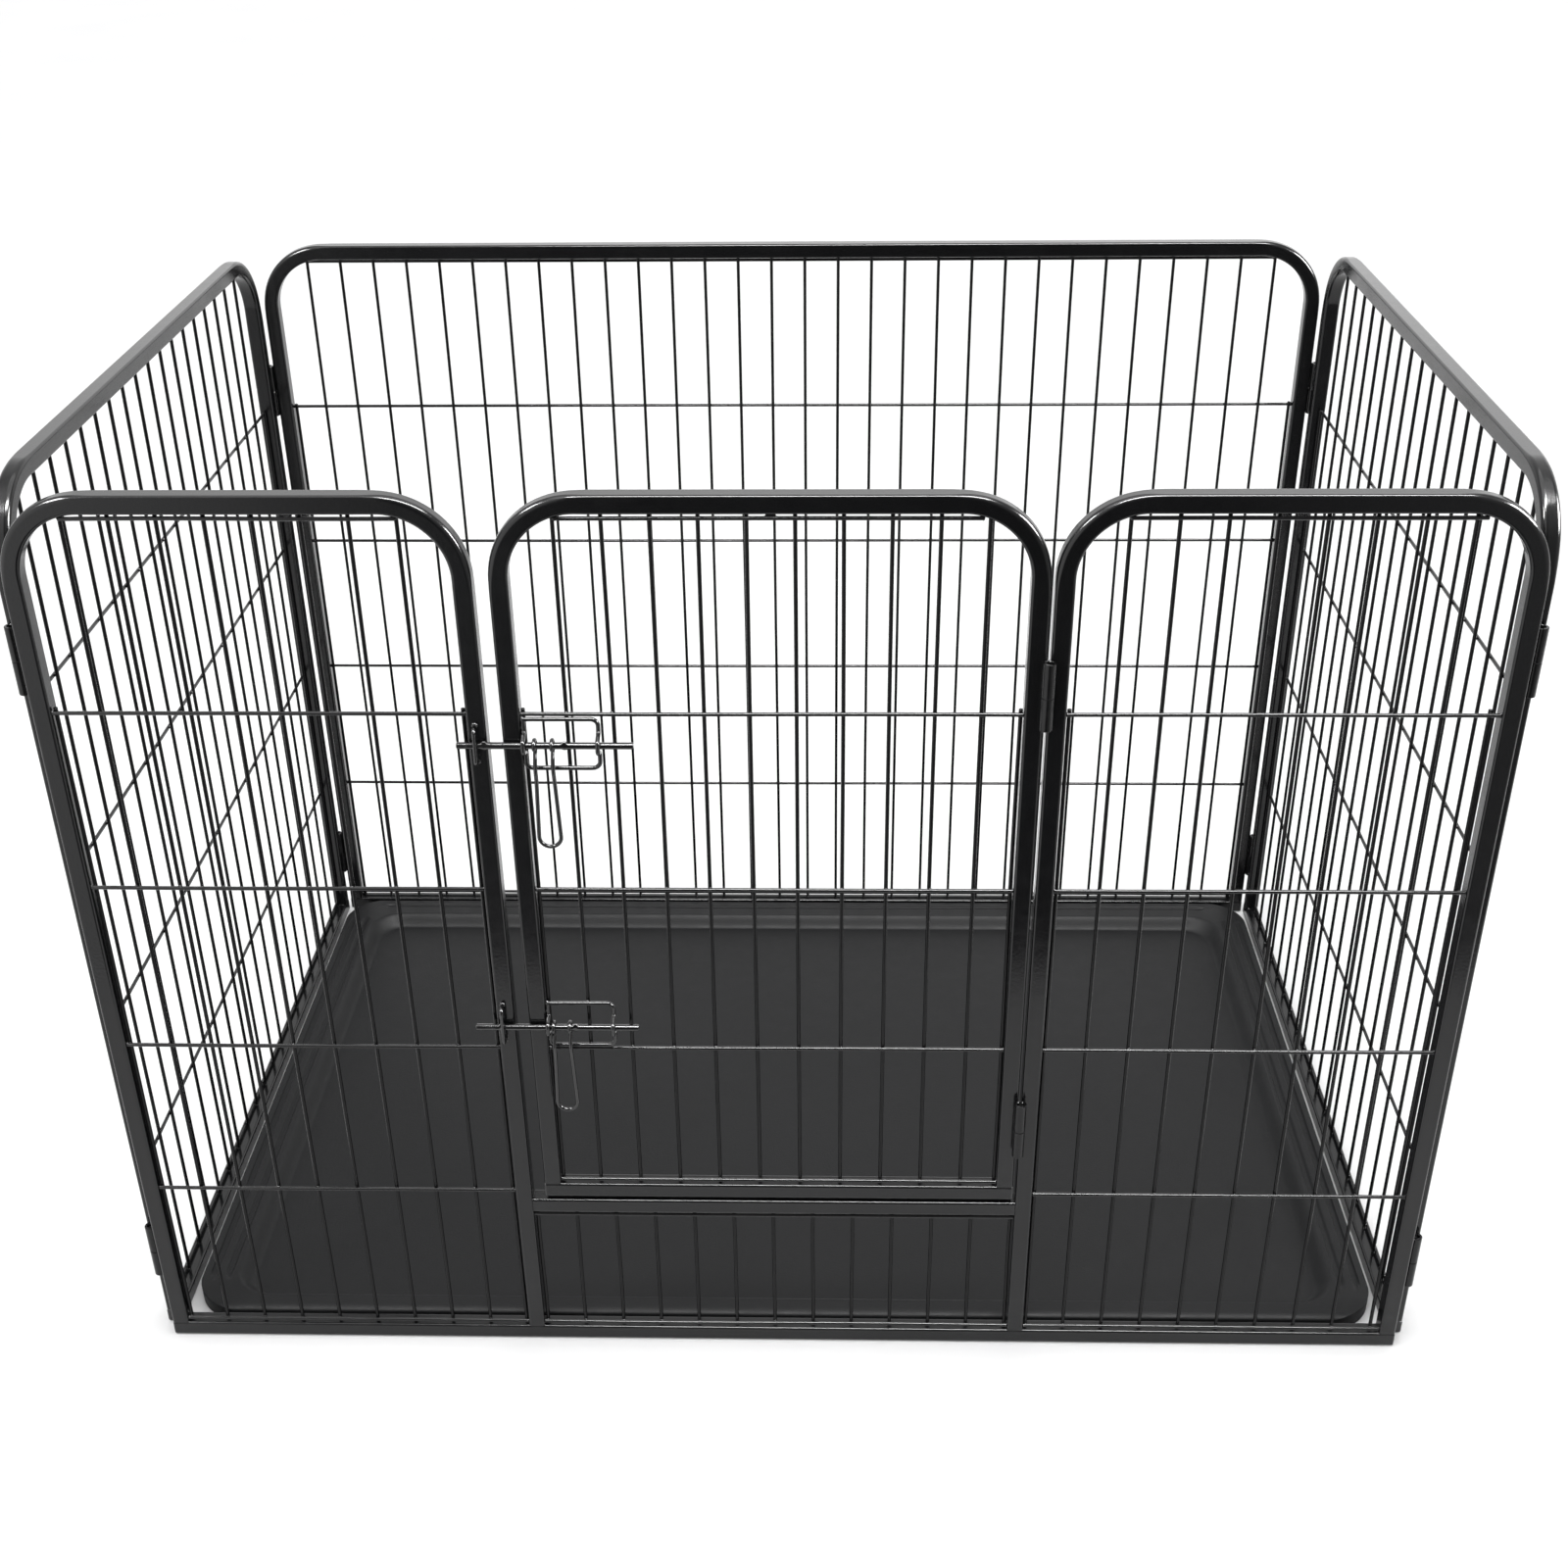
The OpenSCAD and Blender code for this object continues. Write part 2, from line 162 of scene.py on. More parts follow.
def section(r_in, r_out, h, seg=5):
    """Rounded square of half side h (mm). Corners on the +u side have the
    radius r_out, corners on the -u side r_in."""
    out = []
    for q in range(4):
        r = r_out if q in (0, 3) else r_in
        sx = 1 if q in (0, 3) else -1
        sy = 1 if q < 2 else -1
        for i in range(seg + 1):
            a = math.radians(q * 90 + 90 * i / seg)
            out.append((sx * (h - r) + r * math.cos(a), sy * (h - r) + r * math.sin(a),
                        math.cos(a), math.sin(a)))
    return np.array(out)


def smooth(t):
    t = np.clip(t, 0, 1)
    return t * t * (3 - 2 * t)


def unit(v):
    v = np.asarray(v, float)
    return v / np.linalg.norm(v)


def tube(geo, P, r, seg=12, edge=0.0004, closed=False, radii=None):
    """Round bar along P (K,3) metres, radius r; ends cut square with the
    edge rounded by edge."""
    P = np.asarray(P, float)
    K = len(P)
    T = np.gradient(P, axis=0) if not closed else (np.roll(P, -1, 0) - np.roll(P, 1, 0))
    T = T / np.linalg.norm(T, axis=1, keepdims=True)
    ref = np.array([0, 0, 1.0]) if abs(T[0][2]) < 0.9 else np.array([1.0, 0, 0])
    a = unit(np.cross(ref, T[0]))
    A = [a]
    for k in range(1, K):
        v = np.cross(T[k - 1], T[k])
        s = np.linalg.norm(v)
        a = A[-1]
        if s > 1e-9:
            ax = v / s
            c = float(np.clip(np.dot(T[k - 1], T[k]), -1, 1))
            th = math.atan2(s, c)
            a = a * math.cos(th) + np.cross(ax, a) * math.sin(th) + ax * np.dot(ax, a) * (1 - math.cos(th))
        a = a - T[k] * np.dot(a, T[k])
        A.append(unit(a))
    A = np.array(A)
    B = np.cross(T, A)
    R = np.full(K, r) if radii is None else np.asarray(radii, float)
    ang = np.arange(seg) * 2 * math.pi / seg
    if not closed and edge > 0:
        ph = np.radians([78, 45, 15])
        e = min(edge, r * 0.9)
        P0 = P[0] - T[0] * (e * np.sin(ph))[:, None] + T[0] * e
        P1 = P[-1] + T[-1] * (e * np.sin(ph[::-1]))[:, None] - T[-1] * e
        Pm = P.copy()
        Pm[0] = P[0] + T[0] * e
        Pm[-1] = P[-1] - T[-1] * e
        PP = np.concatenate([P0, Pm, P1])
        AA = np.concatenate([np.repeat(A[:1], 3, 0), A, np.repeat(A[-1:], 3, 0)])
        BB = np.concatenate([np.repeat(B[:1], 3, 0), B, np.repeat(B[-1:], 3, 0)])
        R0 = R[0] - e + e * np.cos(ph)
        R1 = R[-1] - e + e * np.cos(ph[::-1])
        RR = np.concatenate([R0, R, R1])
        tilt = np.concatenate([-np.sin(ph), np.zeros(K), np.sin(ph[::-1])])
        hor = np.concatenate([np.cos(ph), np.ones(K), np.cos(ph[::-1])])
        TT = np.concatenate([np.repeat(T[:1], 3, 0), T, np.repeat(T[-1:], 3, 0)])
    else:
        PP, AA, BB, RR, TT = P, A, B, R, T
        tilt, hor = np.zeros(K), np.ones(K)
    cu, su = np.cos(ang), np.sin(ang)
    V = PP[:, None] + RR[:, None, None] * (AA[:, None] * cu[None, :, None] + BB[:, None] * su[None, :, None])
    N = hor[:, None, None] * (AA[:, None] * cu[None, :, None] + BB[:, None] * su[None, :, None]) + tilt[:, None, None] * TT[:, None]
    V = V.reshape(-1, 3)
    N = N.reshape(-1, 3)
    F = grid_faces(len(PP), seg, True, closed)
    base = geo.n
    geo.add(V, F, N[F])
    if not closed:
        for k, t in ((0, -T[0]), (len(PP) - 1, T[-1])):
            geo.more((np.arange(seg) + k * seg)[None], np.broadcast_to(t, (1, seg, 3)), base, V)


def fillet(points, radii, seg=8):
    """Polyline with rounded corners. radii has one value per inner corner."""
    pts = [np.asarray(p, float) for p in points]
    out = [pts[0]]
    for i in range(1, len(pts) - 1):
        r = radii[i - 1] if hasattr(radii, "__len__") else radii
        a, b, c = pts[i - 1], pts[i], pts[i + 1]
        d0, d1 = unit(a - b), unit(c - b)
        cosang = float(np.clip(np.dot(d0, d1), -1, 1))
        ang = math.acos(cosang)
        if r <= 0 or ang > math.pi - 1e-3:
            out.append(b)
            continue
        L = r / math.tan(ang / 2)
        L = min(L, 0.49 * np.linalg.norm(a - b), 0.49 * np.linalg.norm(c - b))
        r = L * math.tan(ang / 2)
        ctr = b + unit(d0 + d1) * (r / math.sin(ang / 2))
        s, e = b + d0 * L, b + d1 * L
        v0, v1 = s - ctr, e - ctr
        tot = math.pi - ang
        for j in range(seg + 1):
            t = j / seg
            out.append(ctr + (v0 * math.sin((1 - t) * tot) + v1 * math.sin(t * tot)) / math.sin(tot))
    out.append(pts[-1])
    return np.array(out)


def blob(geo, c, r, seg=8, rings=5, axes=None):
    """Small ellipsoid of paint-covered weld."""
    c = np.asarray(c, float)
    r = np.asarray(r, float)
    th = np.linspace(0, math.pi, rings + 2)[1:-1]
    ph = np.arange(seg) * 2 * math.pi / seg
    t, p = np.meshgrid(th, ph, indexing="ij")
    D = np.stack([np.sin(t) * np.cos(p), np.sin(t) * np.sin(p), np.cos(t)], -1).reshape(-1, 3)
    D = np.concatenate([D, [[0, 0, 1.0]], [[0, 0, -1.0]]])
    V = c + D * r
    N = D / r
    N = N / np.linalg.norm(N, axis=1, keepdims=True)
    F = grid_faces(rings, seg, True, False)
    base = geo.n
    geo.add(V, F, N[F])
    top, bot = rings * seg, rings * seg + 1
    i = np.arange(seg)
    j = (i + 1) % seg
    F2 = np.stack([i, j, np.full(seg, top)], -1)
    F3 = np.stack([i + (rings - 1) * seg, j + (rings - 1) * seg, np.full(seg, bot)], -1)
    geo.more(F2, N[F2], base, V)
    geo.more(F3, N[F3], base, V)


def bead(geo, a, b, r, amp=0.18, pitch=0.0016, seg=8):
    """A weld run from a to b with its ripples."""
    a, b = np.asarray(a, float), np.asarray(b, float)
    L = np.linalg.norm(b - a)
    n = max(4, int(L / pitch * 3))
    t = np.linspace(0, 1, n)
    P = a + (b - a) * t[:, None]
    ends = np.sqrt(np.clip(1 - (2 * t - 1) ** 8, 0.08, 1))
    rad = r * ends * (1 - amp + amp * np.abs(np.sin(t * L / pitch * math.pi + rng.uniform(0, 3))) - rng.uniform(0, amp * 0.5, n))
    tube(geo, P, r, seg=seg, edge=0, radii=rad)


def lathe(geo, c, prof, seg=28):
    """prof: list of (r, z) in mm from the inside bottom round to the inside
    top; each segment is shaded flat across and smooth around."""
    prof = np.asarray(prof, float) * MM
    ang = np.arange(seg) * 2 * math.pi / seg
    cu, su = np.cos(ang), np.sin(ang)
    for i in range(len(prof) - 1):
        (r0, z0), (r1, z1) = prof[i], prof[i + 1]
        if abs(r0 - r1) < 1e-9 and abs(z0 - z1) < 1e-9:
            continue
        n = np.array([z1 - z0, -(r1 - r0)])
        n = n / np.linalg.norm(n)
        V = []
        for r, z in ((r0, z0), (r1, z1)):
            V.append(np.stack([r * cu, r * su, np.full(seg, z)], -1))
        V = np.concatenate(V)
        N = np.stack([n[0] * cu, n[0] * su, np.full(seg, n[1])], -1)
        N = np.concatenate([N, N])
        if min(r0, r1) < 1e-9:
            k = 0 if r0 < 1e-9 else 1
            V[k * seg:(k + 1) * seg, :2] = 0
            j = np.arange(seg)
            o = (1 - k) * seg
            F = np.stack([j + o, (j + 1) % seg + o, np.full(seg, k * seg)], -1)
        else:
            F = grid_faces(2, seg, True, False)
        geo.add(V + np.asarray(c, float), F, N[F])


def solids(node):
    """The separate solids of a CAD node, as (low corner, high corner)."""
    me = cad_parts[node].data
    co = np.zeros(len(me.vertices) * 3)
    me.vertices.foreach_get("co", co)
    co = co.reshape(-1, 3)
    key = np.round(co * 1e6).astype(np.int64)
    _, inv = np.unique(key, axis=0, return_inverse=True)
    inv = inv.ravel()
    n = inv.max() + 1
    parent = np.arange(n)

    def find(i):
        while parent[i] != i:
            parent[i] = parent[parent[i]]
            i = parent[i]
        return i

    lv = np.zeros(len(me.loops), np.int32)
    me.loops.foreach_get("vertex_index", lv)
    for p in me.polygons:
        ids = inv[lv[p.loop_start:p.loop_start + p.loop_total]]
        r0 = find(ids[0])
        for q in ids[1:]:
            r = find(q)
            if r != r0:
                parent[r] = r0
    roots = np.array([find(i) for i in range(n)])[inv]
    out = []
    for r in np.unique(roots):
        c = co[roots == r]
        out.append((c.min(0), c.max(0)))
    return out


# =====================================================================
# materials
# =====================================================================


def new_mat(name):
    m = bpy.data.materials.new(name)
    m.use_nodes = True
    nt = m.node_tree
    for n in list(nt.nodes):
        nt.nodes.remove(n)
    out = nt.nodes.new("ShaderNodeOutputMaterial")
    b = nt.nodes.new("ShaderNodeBsdfPrincipled")
    nt.links.new(b.outputs[0], out.inputs[0])
    co = nt.nodes.new("ShaderNodeTexCoord")
    return m, nt, b, co


def noise(nt, co, scale, detail=3.0, rough=0.5, stretch=None):
    n = nt.nodes.new("ShaderNodeTexNoise")
    n.inputs["Scale"].default_value = scale
    n.inputs["Detail"].default_value = detail
    n.inputs["Roughness"].default_value = rough
    if stretch:
        mp = nt.nodes.new("ShaderNodeMapping")
        mp.inputs["Scale"].default_value = stretch
        nt.links.new(co.outputs["Object"], mp.inputs["Vector"])
        nt.links.new(mp.outputs[0], n.inputs["Vector"])
    else:
        nt.links.new(co.outputs["Object"], n.inputs["Vector"])
    return n.outputs["Fac"]


def ramp(nt, fac, a, b, lo=0.0, hi=1.0):
    """Value from lo to hi as fac goes from a to b."""
    m = nt.nodes.new("ShaderNodeMapRange")
    m.inputs["From Min"].default_value = a
    m.inputs["From Max"].default_value = b
    m.inputs["To Min"].default_value = lo
    m.inputs["To Max"].default_value = hi
    nt.links.new(fac, m.inputs["Value"])
    return m.outputs["Result"]


def mix(nt, fac, c0, c1):
    m = nt.nodes.new("ShaderNodeMix")
    m.data_type = "RGBA"
    nt.links.new(fac, m.inputs[0])
    for i, c in ((6, c0), (7, c1)):
        if isinstance(c, (tuple, list)):
            m.inputs[i].default_value = (*c, 1.0)
        else:
            nt.links.new(c, m.inputs[i])
    return m.outputs[2]


def bump(nt, b, heights):
    """heights: list of (socket, distance, strength)."""
    last = None
    for h, dist, strength in heights:
        n = nt.nodes.new("ShaderNodeBump")
        n.inputs["Distance"].default_value = dist
        n.inputs["Strength"].default_value = strength
        nt.links.new(h, n.inputs["Height"])
        if last is not None:
            nt.links.new(last, n.inputs["Normal"])
        last = n.outputs[0]
    nt.links.new(last, b.inputs["Normal"])
    return last


def scale(nt, a, k):
    m = nt.nodes.new("ShaderNodeMath")
    m.operation = "MULTIPLY"
    nt.links.new(a, m.inputs[0])
    if isinstance(k, (int, float)):
        m.inputs[1].default_value = k
    else:
        nt.links.new(k, m.inputs[1])
    return m.outputs[0]


def edge_mask(nt, co, a, b):
    """Convex edges, broken up by noise."""
    g = nt.nodes.new("ShaderNodeNewGeometry")
    e = ramp(nt, g.outputs["Pointiness"], a, b)
    return scale(nt, e, ramp(nt, noise(nt, co, 95.0, 5.0, 0.7), 0.45, 0.68))


def paint(name, base, light, rough, peel, coat=0.04, wear=0.0, spec=0.33, edge_wear=0.35):
    m, nt, b, co = new_mat(name)
    big = noise(nt, co, 9.0, 2.0)
    mid = noise(nt, co, 70.0, 4.0, 0.6)
    fine = noise(nt, co, 520.0, 2.0, 0.5)
    dust = noise(nt, co, 240.0, 6.0, 0.75)
    c = mix(nt, ramp(nt, big, 0.35, 0.7), base, light)
    c = mix(nt, ramp(nt, dust, 0.66, 0.78, 0.0, 0.30), c, (0.10, 0.10, 0.105))
    if wear:
        c = mix(nt, ramp(nt, mid, 0.66, 0.70, 0.0, wear), c, (0.22, 0.22, 0.23))
    nt.links.new(c, b.inputs["Base Color"])
    r = nt.nodes.new("ShaderNodeMath")
    r.operation = "ADD"
    nt.links.new(ramp(nt, mid, 0.3, 0.7, rough - 0.04, rough + 0.05), r.inputs[0])
    nt.links.new(ramp(nt, dust, 0.6, 0.8, 0.0, 0.14), r.inputs[1])
    nt.links.new(r.outputs[0], b.inputs["Roughness"])
    b.inputs["Coat Weight"].default_value = coat
    b.inputs["Coat Roughness"].default_value = 0.10
    b.inputs["IOR"].default_value = 1.5
    b.inputs["Specular IOR Level"].default_value = spec
    edge = edge_mask(nt, co, 0.53, 0.62)
    if edge_wear:
        c = mix(nt, scale(nt, edge, edge_wear), c, (0.05, 0.05, 0.052))
        nt.links.new(c, b.inputs["Base Color"])
    n = bump(nt, b, [(noise(nt, co, 330.0, 1.5, 0.4), 0.0006, peel), (fine, 0.0002, peel * 0.5)])
    nt.links.new(n, b.inputs["Coat Normal"])
    return m


def plastic(name, base, light, rough, grain, grain_scale, coat=0.0, spec=0.5):
    m, nt, b, co = new_mat(name)
    big = noise(nt, co, 3.2, 3.0, 0.6)
    mid = noise(nt, co, 38.0, 5.0, 0.65)
    scuff = noise(nt, co, 26.0, 6.0, 0.8, (1.0, 9.0, 1.0))
    vor = nt.nodes.new("ShaderNodeTexVoronoi")
    vor.feature = "SMOOTH_F1"
    vor.inputs["Scale"].default_value = grain_scale
    nt.links.new(co.outputs["Object"], vor.inputs["Vector"])
    fine = noise(nt, co, grain_scale * 1.9, 3.0, 0.6)
    c = mix(nt, ramp(nt, big, 0.3, 0.72), base, light)
    c = mix(nt, ramp(nt, mid, 0.58, 0.8, 0.0, 0.25), c, tuple(min(1, x * 1.7) for x in light))
    c = mix(nt, ramp(nt, scuff, 0.68, 0.78, 0.0, 0.28), c, tuple(min(1, x * 2.4) for x in light))
    c = mix(nt, scale(nt, edge_mask(nt, co, 0.505, 0.56), 0.5), c, tuple(min(1, x * 3.0) for x in light))
    nt.links.new(c, b.inputs["Base Color"])
    nt.links.new(ramp(nt, mid, 0.3, 0.7, rough - 0.05, rough + 0.07), b.inputs["Roughness"])
    b.inputs["IOR"].default_value = 1.5
    b.inputs["Coat Weight"].default_value = coat
    b.inputs["Specular IOR Level"].default_value = spec
    bump(nt, b, [(mid, 0.0008, 0.05), (vor.outputs["Distance"], 0.0006, grain), (fine, 0.0003, grain * 0.8)])
    return m


M_TUBE = paint("tube_paint", (0.0042, 0.0043, 0.0047), (0.0062, 0.0064, 0.0069), 0.16, 0.07)
M_WIRE = paint("wire_paint", (0.0042, 0.0042, 0.0045), (0.0065, 0.0065, 0.0068), 0.13, 0.05, coat=0.05, spec=0.4)
# Upright wires: the same wire paint as the level wires, with a darker base colour and less gloss. The darker base
# colour is painted shade for the dimmer surroundings that the vertical wires reflect.
M_WIRE_DARKENED_FOR_SHADE = paint("upright_wire_paint_painted_shade", (0.0030, 0.0030, 0.0032), (0.0048, 0.0048, 0.0050), 0.16, 0.05, coat=0.0, spec=0.17, edge_wear=0.2)
M_HINGE = paint("hinge_paint", (0.0040, 0.0040, 0.0042), (0.0075, 0.0075, 0.0079), 0.15, 0.12, spec=0.24)
M_PIN = paint("pin_paint", (0.011, 0.011, 0.0116), (0.02, 0.02, 0.021), 0.28, 0.05, coat=0.15, wear=0.25, spec=0.6)
M_LATCH = paint("latch_paint", (0.0038, 0.0038, 0.0040), (0.0075, 0.0075, 0.0079), 0.11, 0.04, coat=0.15, wear=0.06, spec=0.5)
M_CAP = plastic("cap_plastic", (0.009, 0.009, 0.0095), (0.014, 0.014, 0.0145), 0.42, 0.10, 900.0)
M_TRAY = plastic("tray_plastic", (0.0078, 0.008, 0.0086), (0.0102, 0.0104, 0.0111), 0.50, 0.20, 640.0, spec=0.13)

# =====================================================================
# panels: local x along the panel, y inwards from the outer face, z up
# =====================================================================
lo_f, hi_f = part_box("front_bottom_rail")
lo_b, hi_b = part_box("back_bottom_rail")
lo_l, hi_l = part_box("left_bottom_rail")
lo_r, hi_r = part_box("right_bottom_rail")
Y_FRONT, Y_BACK = lo_f.y, hi_b.y
X_LEFT, X_RIGHT = lo_l.x, hi_r.x
TUBE = hi_f.z
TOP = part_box("back_frame_tube")[1].z
HALF = TUBE / 2


class Panel:
    def __init__(self, origin, ax, ay, body):
        self.o = np.array(origin, float)
        self.ax, self.ay = np.array(ax, float), np.array(ay, float)
        self.az = np.array([0, 0, 1.0])
        self.body = body

    def w(self, x, y, z):
        """Local point or points to the row frame."""
        x, y, z = np.broadcast_arrays(np.asarray(x, float), np.asarray(y, float), np.asarray(z, float))
        return self.o + x[..., None] * self.ax + y[..., None] * self.ay + z[..., None] * self.az

    def local(self, p):
        d = np.asarray(p, float) - self.o
        return np.array([d @ self.ax, d @ self.ay, d @ self.az])

    def lbox(self, node):
        lo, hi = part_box(node)
        a, b = self.local(lo), self.local(hi)
        return np.minimum(a, b), np.maximum(a, b)


FRONT = Panel((0, Y_FRONT, 0), (1, 0, 0), (0, 1, 0), "front_panel")
DOOR = Panel((0, Y_FRONT, 0), (1, 0, 0), (0, 1, 0), "door")
BACK = Panel((0, Y_BACK, 0), (-1, 0, 0), (0, -1, 0), "back_panel")
LEFT = Panel((X_LEFT, 0, 0), (0, -1, 0), (1, 0, 0), "left_panel")
RIGHT = Panel((X_RIGHT, 0, 0), (0, 1, 0), (-1, 0, 0), "right_panel")

EDGE = 2.4 * MM
BEND = 72 * MM


def rail_mesh(geo, pn, x0, x1, zc, caps=(True, True)):
    """Square tube along the panel between x0 and x1, centre height zc."""
    s = section(2.4, 2.4, 8)
    n = 9
    xs = np.linspace(x0, x1, n)
    P = pn.w(xs, HALF, zc)
    A = np.repeat(pn.ay[None], n, 0)
    B = np.repeat(pn.az[None], n, 0)
    U = np.repeat(s[None, :, 0] * MM, n, 0)
    W = np.repeat(s[None, :, 1] * MM, n, 0)
    sweep(geo, P, A, B, U, W, np.repeat(s[None, :, 2], n, 0), np.repeat(s[None, :, 3], n, 0))


def frame_mesh(geo, pn, lo, hi):
    """Bent inverted U. Its outer corners round out where the tube is bent."""
    x0, x1, z0, z1 = lo[0], hi[0], lo[2], hi[2]
    rc = BEND - HALF
    pts, nrm, out = [], [], []
    ramp_l = 14 * MM

    def put(x, z, nx, nz, k):
        pts.append((x, z))
        nrm.append((nx, nz))
        out.append(k)

    zb = z1 - BEND
    for z in np.concatenate([np.linspace(z0, zb - ramp_l, 7), zb - ramp_l * np.array([0.66, 0.33])]):
        put(x0 + HALF, z, -1, 0, smooth((z - (zb - ramp_l)) / ramp_l * 0.5))
    nb = 22
    for i in range(nb + 1):
        a = math.pi - i / nb * math.pi / 2
        s = min(i, nb - i) / nb * math.pi / 2 * rc
        put(x0 + BEND + rc * math.cos(a), zb + rc * math.sin(a), math.cos(a), math.sin(a),
            smooth(0.5 + 0.5 * s / ramp_l))
    for x in np.concatenate([x0 + BEND + ramp_l * np.array([0.33, 0.66]),
                             np.linspace(x0 + BEND + ramp_l, x1 - BEND - ramp_l, 9),
                             x1 - BEND - ramp_l * np.array([0.66, 0.33])]):
        d = min(x - x0 - BEND, x1 - BEND - x)
        put(x, z1 - HALF, 0, 1, smooth(0.5 - 0.5 * d / ramp_l))
    for i in range(nb + 1):
        a = math.pi / 2 - i / nb * math.pi / 2
        s = min(i, nb - i) / nb * math.pi / 2 * rc
        put(x1 - BEND + rc * math.cos(a), zb + rc * math.sin(a), math.cos(a), math.sin(a),
            smooth(0.5 + 0.5 * s / ramp_l))
    for z in np.concatenate([zb - ramp_l * np.array([0.33, 0.66]), np.linspace(zb - ramp_l, z0, 7)]):
        put(x1 - HALF, z, 1, 0, smooth((z - (zb - ramp_l)) / ramp_l * 0.5))
    pts, nrm, out = np.array(pts), np.array(nrm), np.array(out)
    P = pn.w(pts[:, 0], HALF, pts[:, 1])
    A = nrm[:, :1] * pn.ax + nrm[:, 1:] * pn.az
    B = np.repeat(pn.ay[None], len(P), 0)
    S = np.array([section(2.4 + 0.5 * k, 2.4 + 2.3 * k, 8) for k in out])
    sweep(geo, P, A, B, S[..., 0] * MM, S[..., 1] * MM, S[..., 2], S[..., 3])


def foot_welds(geo, pn, xc, z, outer=None):
    """Welds where an upright stands on a rail: filled notches on the faces,
    fillets at the sides. outer is the side (-1 or 1) at the rail's end."""
    for y in (1.75 * MM, TUBE - 1.75 * MM):
        bead(geo, pn.w(xc - HALF + 0.4 * MM, y, z - 1.0 * MM), pn.w(xc + HALF - 0.4 * MM, y, z - 1.0 * MM), 1.62 * MM, 0.10)
    for s in (-1, 1):
        if outer == s:
            x = xc + s * (HALF - 1.75 * MM)
            bead(geo, pn.w(x, 1.5 * MM, z - 1.0 * MM), pn.w(x, TUBE - 1.5 * MM, z - 1.0 * MM), 1.6 * MM, 0.1)
        else:
            x = xc + s * (HALF + 0.25 * MM)
            bead(geo, pn.w(x, 2.2 * MM, z + 0.25 * MM), pn.w(x, TUBE - 2.2 * MM, z + 0.25 * MM), 1.35 * MM)


def end_welds(geo, pn, x, zc, s):
    """Welds where a rail's end meets the side of an upright at x. s is the
    direction in which the rail leaves."""
    for y in (1.75 * MM, TUBE - 1.75 * MM):
        bead(geo, pn.w(x - s * 1.0 * MM, y, zc - HALF + 0.5 * MM), pn.w(x - s * 1.0 * MM, y, zc + HALF - 0.5 * MM), 1.62 * MM, 0.10)
    for e in (-1, 1):
        bead(geo, pn.w(x + s * 0.25 * MM, 2.2 * MM, zc + e * (HALF + 0.25 * MM)), pn.w(x + s * 0.25 * MM, TUBE - 2.2 * MM, zc + e * (HALF + 0.25 * MM)), 1.35 * MM)


def cap_mesh(geo, pn, x, zc, s):
    """End cap: a flange with a bevelled, slightly crowned face."""
    levels = [(0.0, 8.0), (0.9, 8.0), (1.25, 7.75), (1.45, 7.2), (1.5, 6.2)]
    S = []
    for d, h in levels:
        S.append(section(max(0.4, 2.4 - (8 - h) * 0.4), max(0.4, 2.4 - (8 - h) * 0.4), h))
    S = np.array(S)
    P = pn.w(np.array([x - s * (1.5 - d) * MM for d, h in levels]), HALF, zc)
    A = np.repeat(pn.ay[None], len(P), 0)
    B = np.repeat(pn.az[None], len(P), 0)
    NT = np.array([0.0, 0.12, 0.6, 0.95, 2.5])[:, None] * np.ones(S.shape[1])
    sweep(geo, P, A, B, S[..., 0] * MM, S[..., 1] * MM, S[..., 2], S[..., 3], NT)


# ---- frames, rails and caps -----------------------------------------
FRAMES = [(FRONT, "front_left_frame_tube"), (FRONT, "front_right_frame_tube"),
          (BACK, "back_frame_tube"), (LEFT, "left_frame_tube"), (RIGHT, "right_frame_tube"),
          (DOOR, "door_frame_tube")]
RAILS = [(FRONT, "front_bottom_rail", "front_rail_caps"), (BACK, "back_bottom_rail", "back_rail_caps"),
         (LEFT, "left_bottom_rail", "left_rail_caps"), (RIGHT, "right_bottom_rail", "right_rail_caps"),
         (DOOR, "door_bottom_rail", "door_rail_caps")]
for pn, node in FRAMES:
    lo, hi = pn.lbox(node)
    g = Geo()
    frame_mesh(g, pn, lo, hi)
    g.build("v_" + node, M_TUBE, pn.body, "tube_paint", [node])
for pn, node, capnode in RAILS:
    lo, hi = pn.lbox(node)
    g = Geo()
    rail_mesh(g, pn, lo[0], hi[0], (lo[2] + hi[2]) / 2)
    g.build("v_" + node, M_TUBE, pn.body, "tube_paint", [node])
    clo, chi = pn.lbox(capnode)
    g = Geo()
    for x, s in ((clo[0], -1), (chi[0], 1)):
        cap_mesh(g, pn, x, (lo[2] + hi[2]) / 2, s)
    g.build("v_" + capnode, M_CAP, pn.body, "cap_plastic", [capnode])
lo, hi = FRONT.lbox("door_sill_rail")
g = Geo()
rail_mesh(g, FRONT, lo[0], hi[0], (lo[2] + hi[2]) / 2)
g.build("v_door_sill_rail", M_TUBE, "front_panel", "tube_paint", ["door_sill_rail"])
g = Geo()
end_welds(g, FRONT, lo[0], (lo[2] + hi[2]) / 2, 1)
end_welds(g, FRONT, hi[0], (lo[2] + hi[2]) / 2, -1)
for node in ("front_left_frame_tube", "front_right_frame_tube"):
    lo, hi = FRONT.lbox(node)
    for x in (lo[0] + HALF, hi[0] - HALF):
        end = None
        if abs(x) > 0.55:
            end = 1 if x > 0 else -1
        foot_welds(g, FRONT, x, lo[2], end)
g.build("front_tube_welds", M_HINGE, "front_panel", "hinge_paint")
for pn, node in FRAMES[2:]:
    lo, hi = pn.lbox(node)
    g = Geo()
    foot_welds(g, pn, lo[0] + HALF, lo[2], -1)
    foot_welds(g, pn, hi[0] - HALF, lo[2], 1)
    g.build(node.split("_")[0] + "_tube_welds", M_HINGE, pn.body, "hinge_paint")


# ---- grilles ----------------------------------------------------------
PAINT = 0.28 * MM      # powder coat over the drawn wire

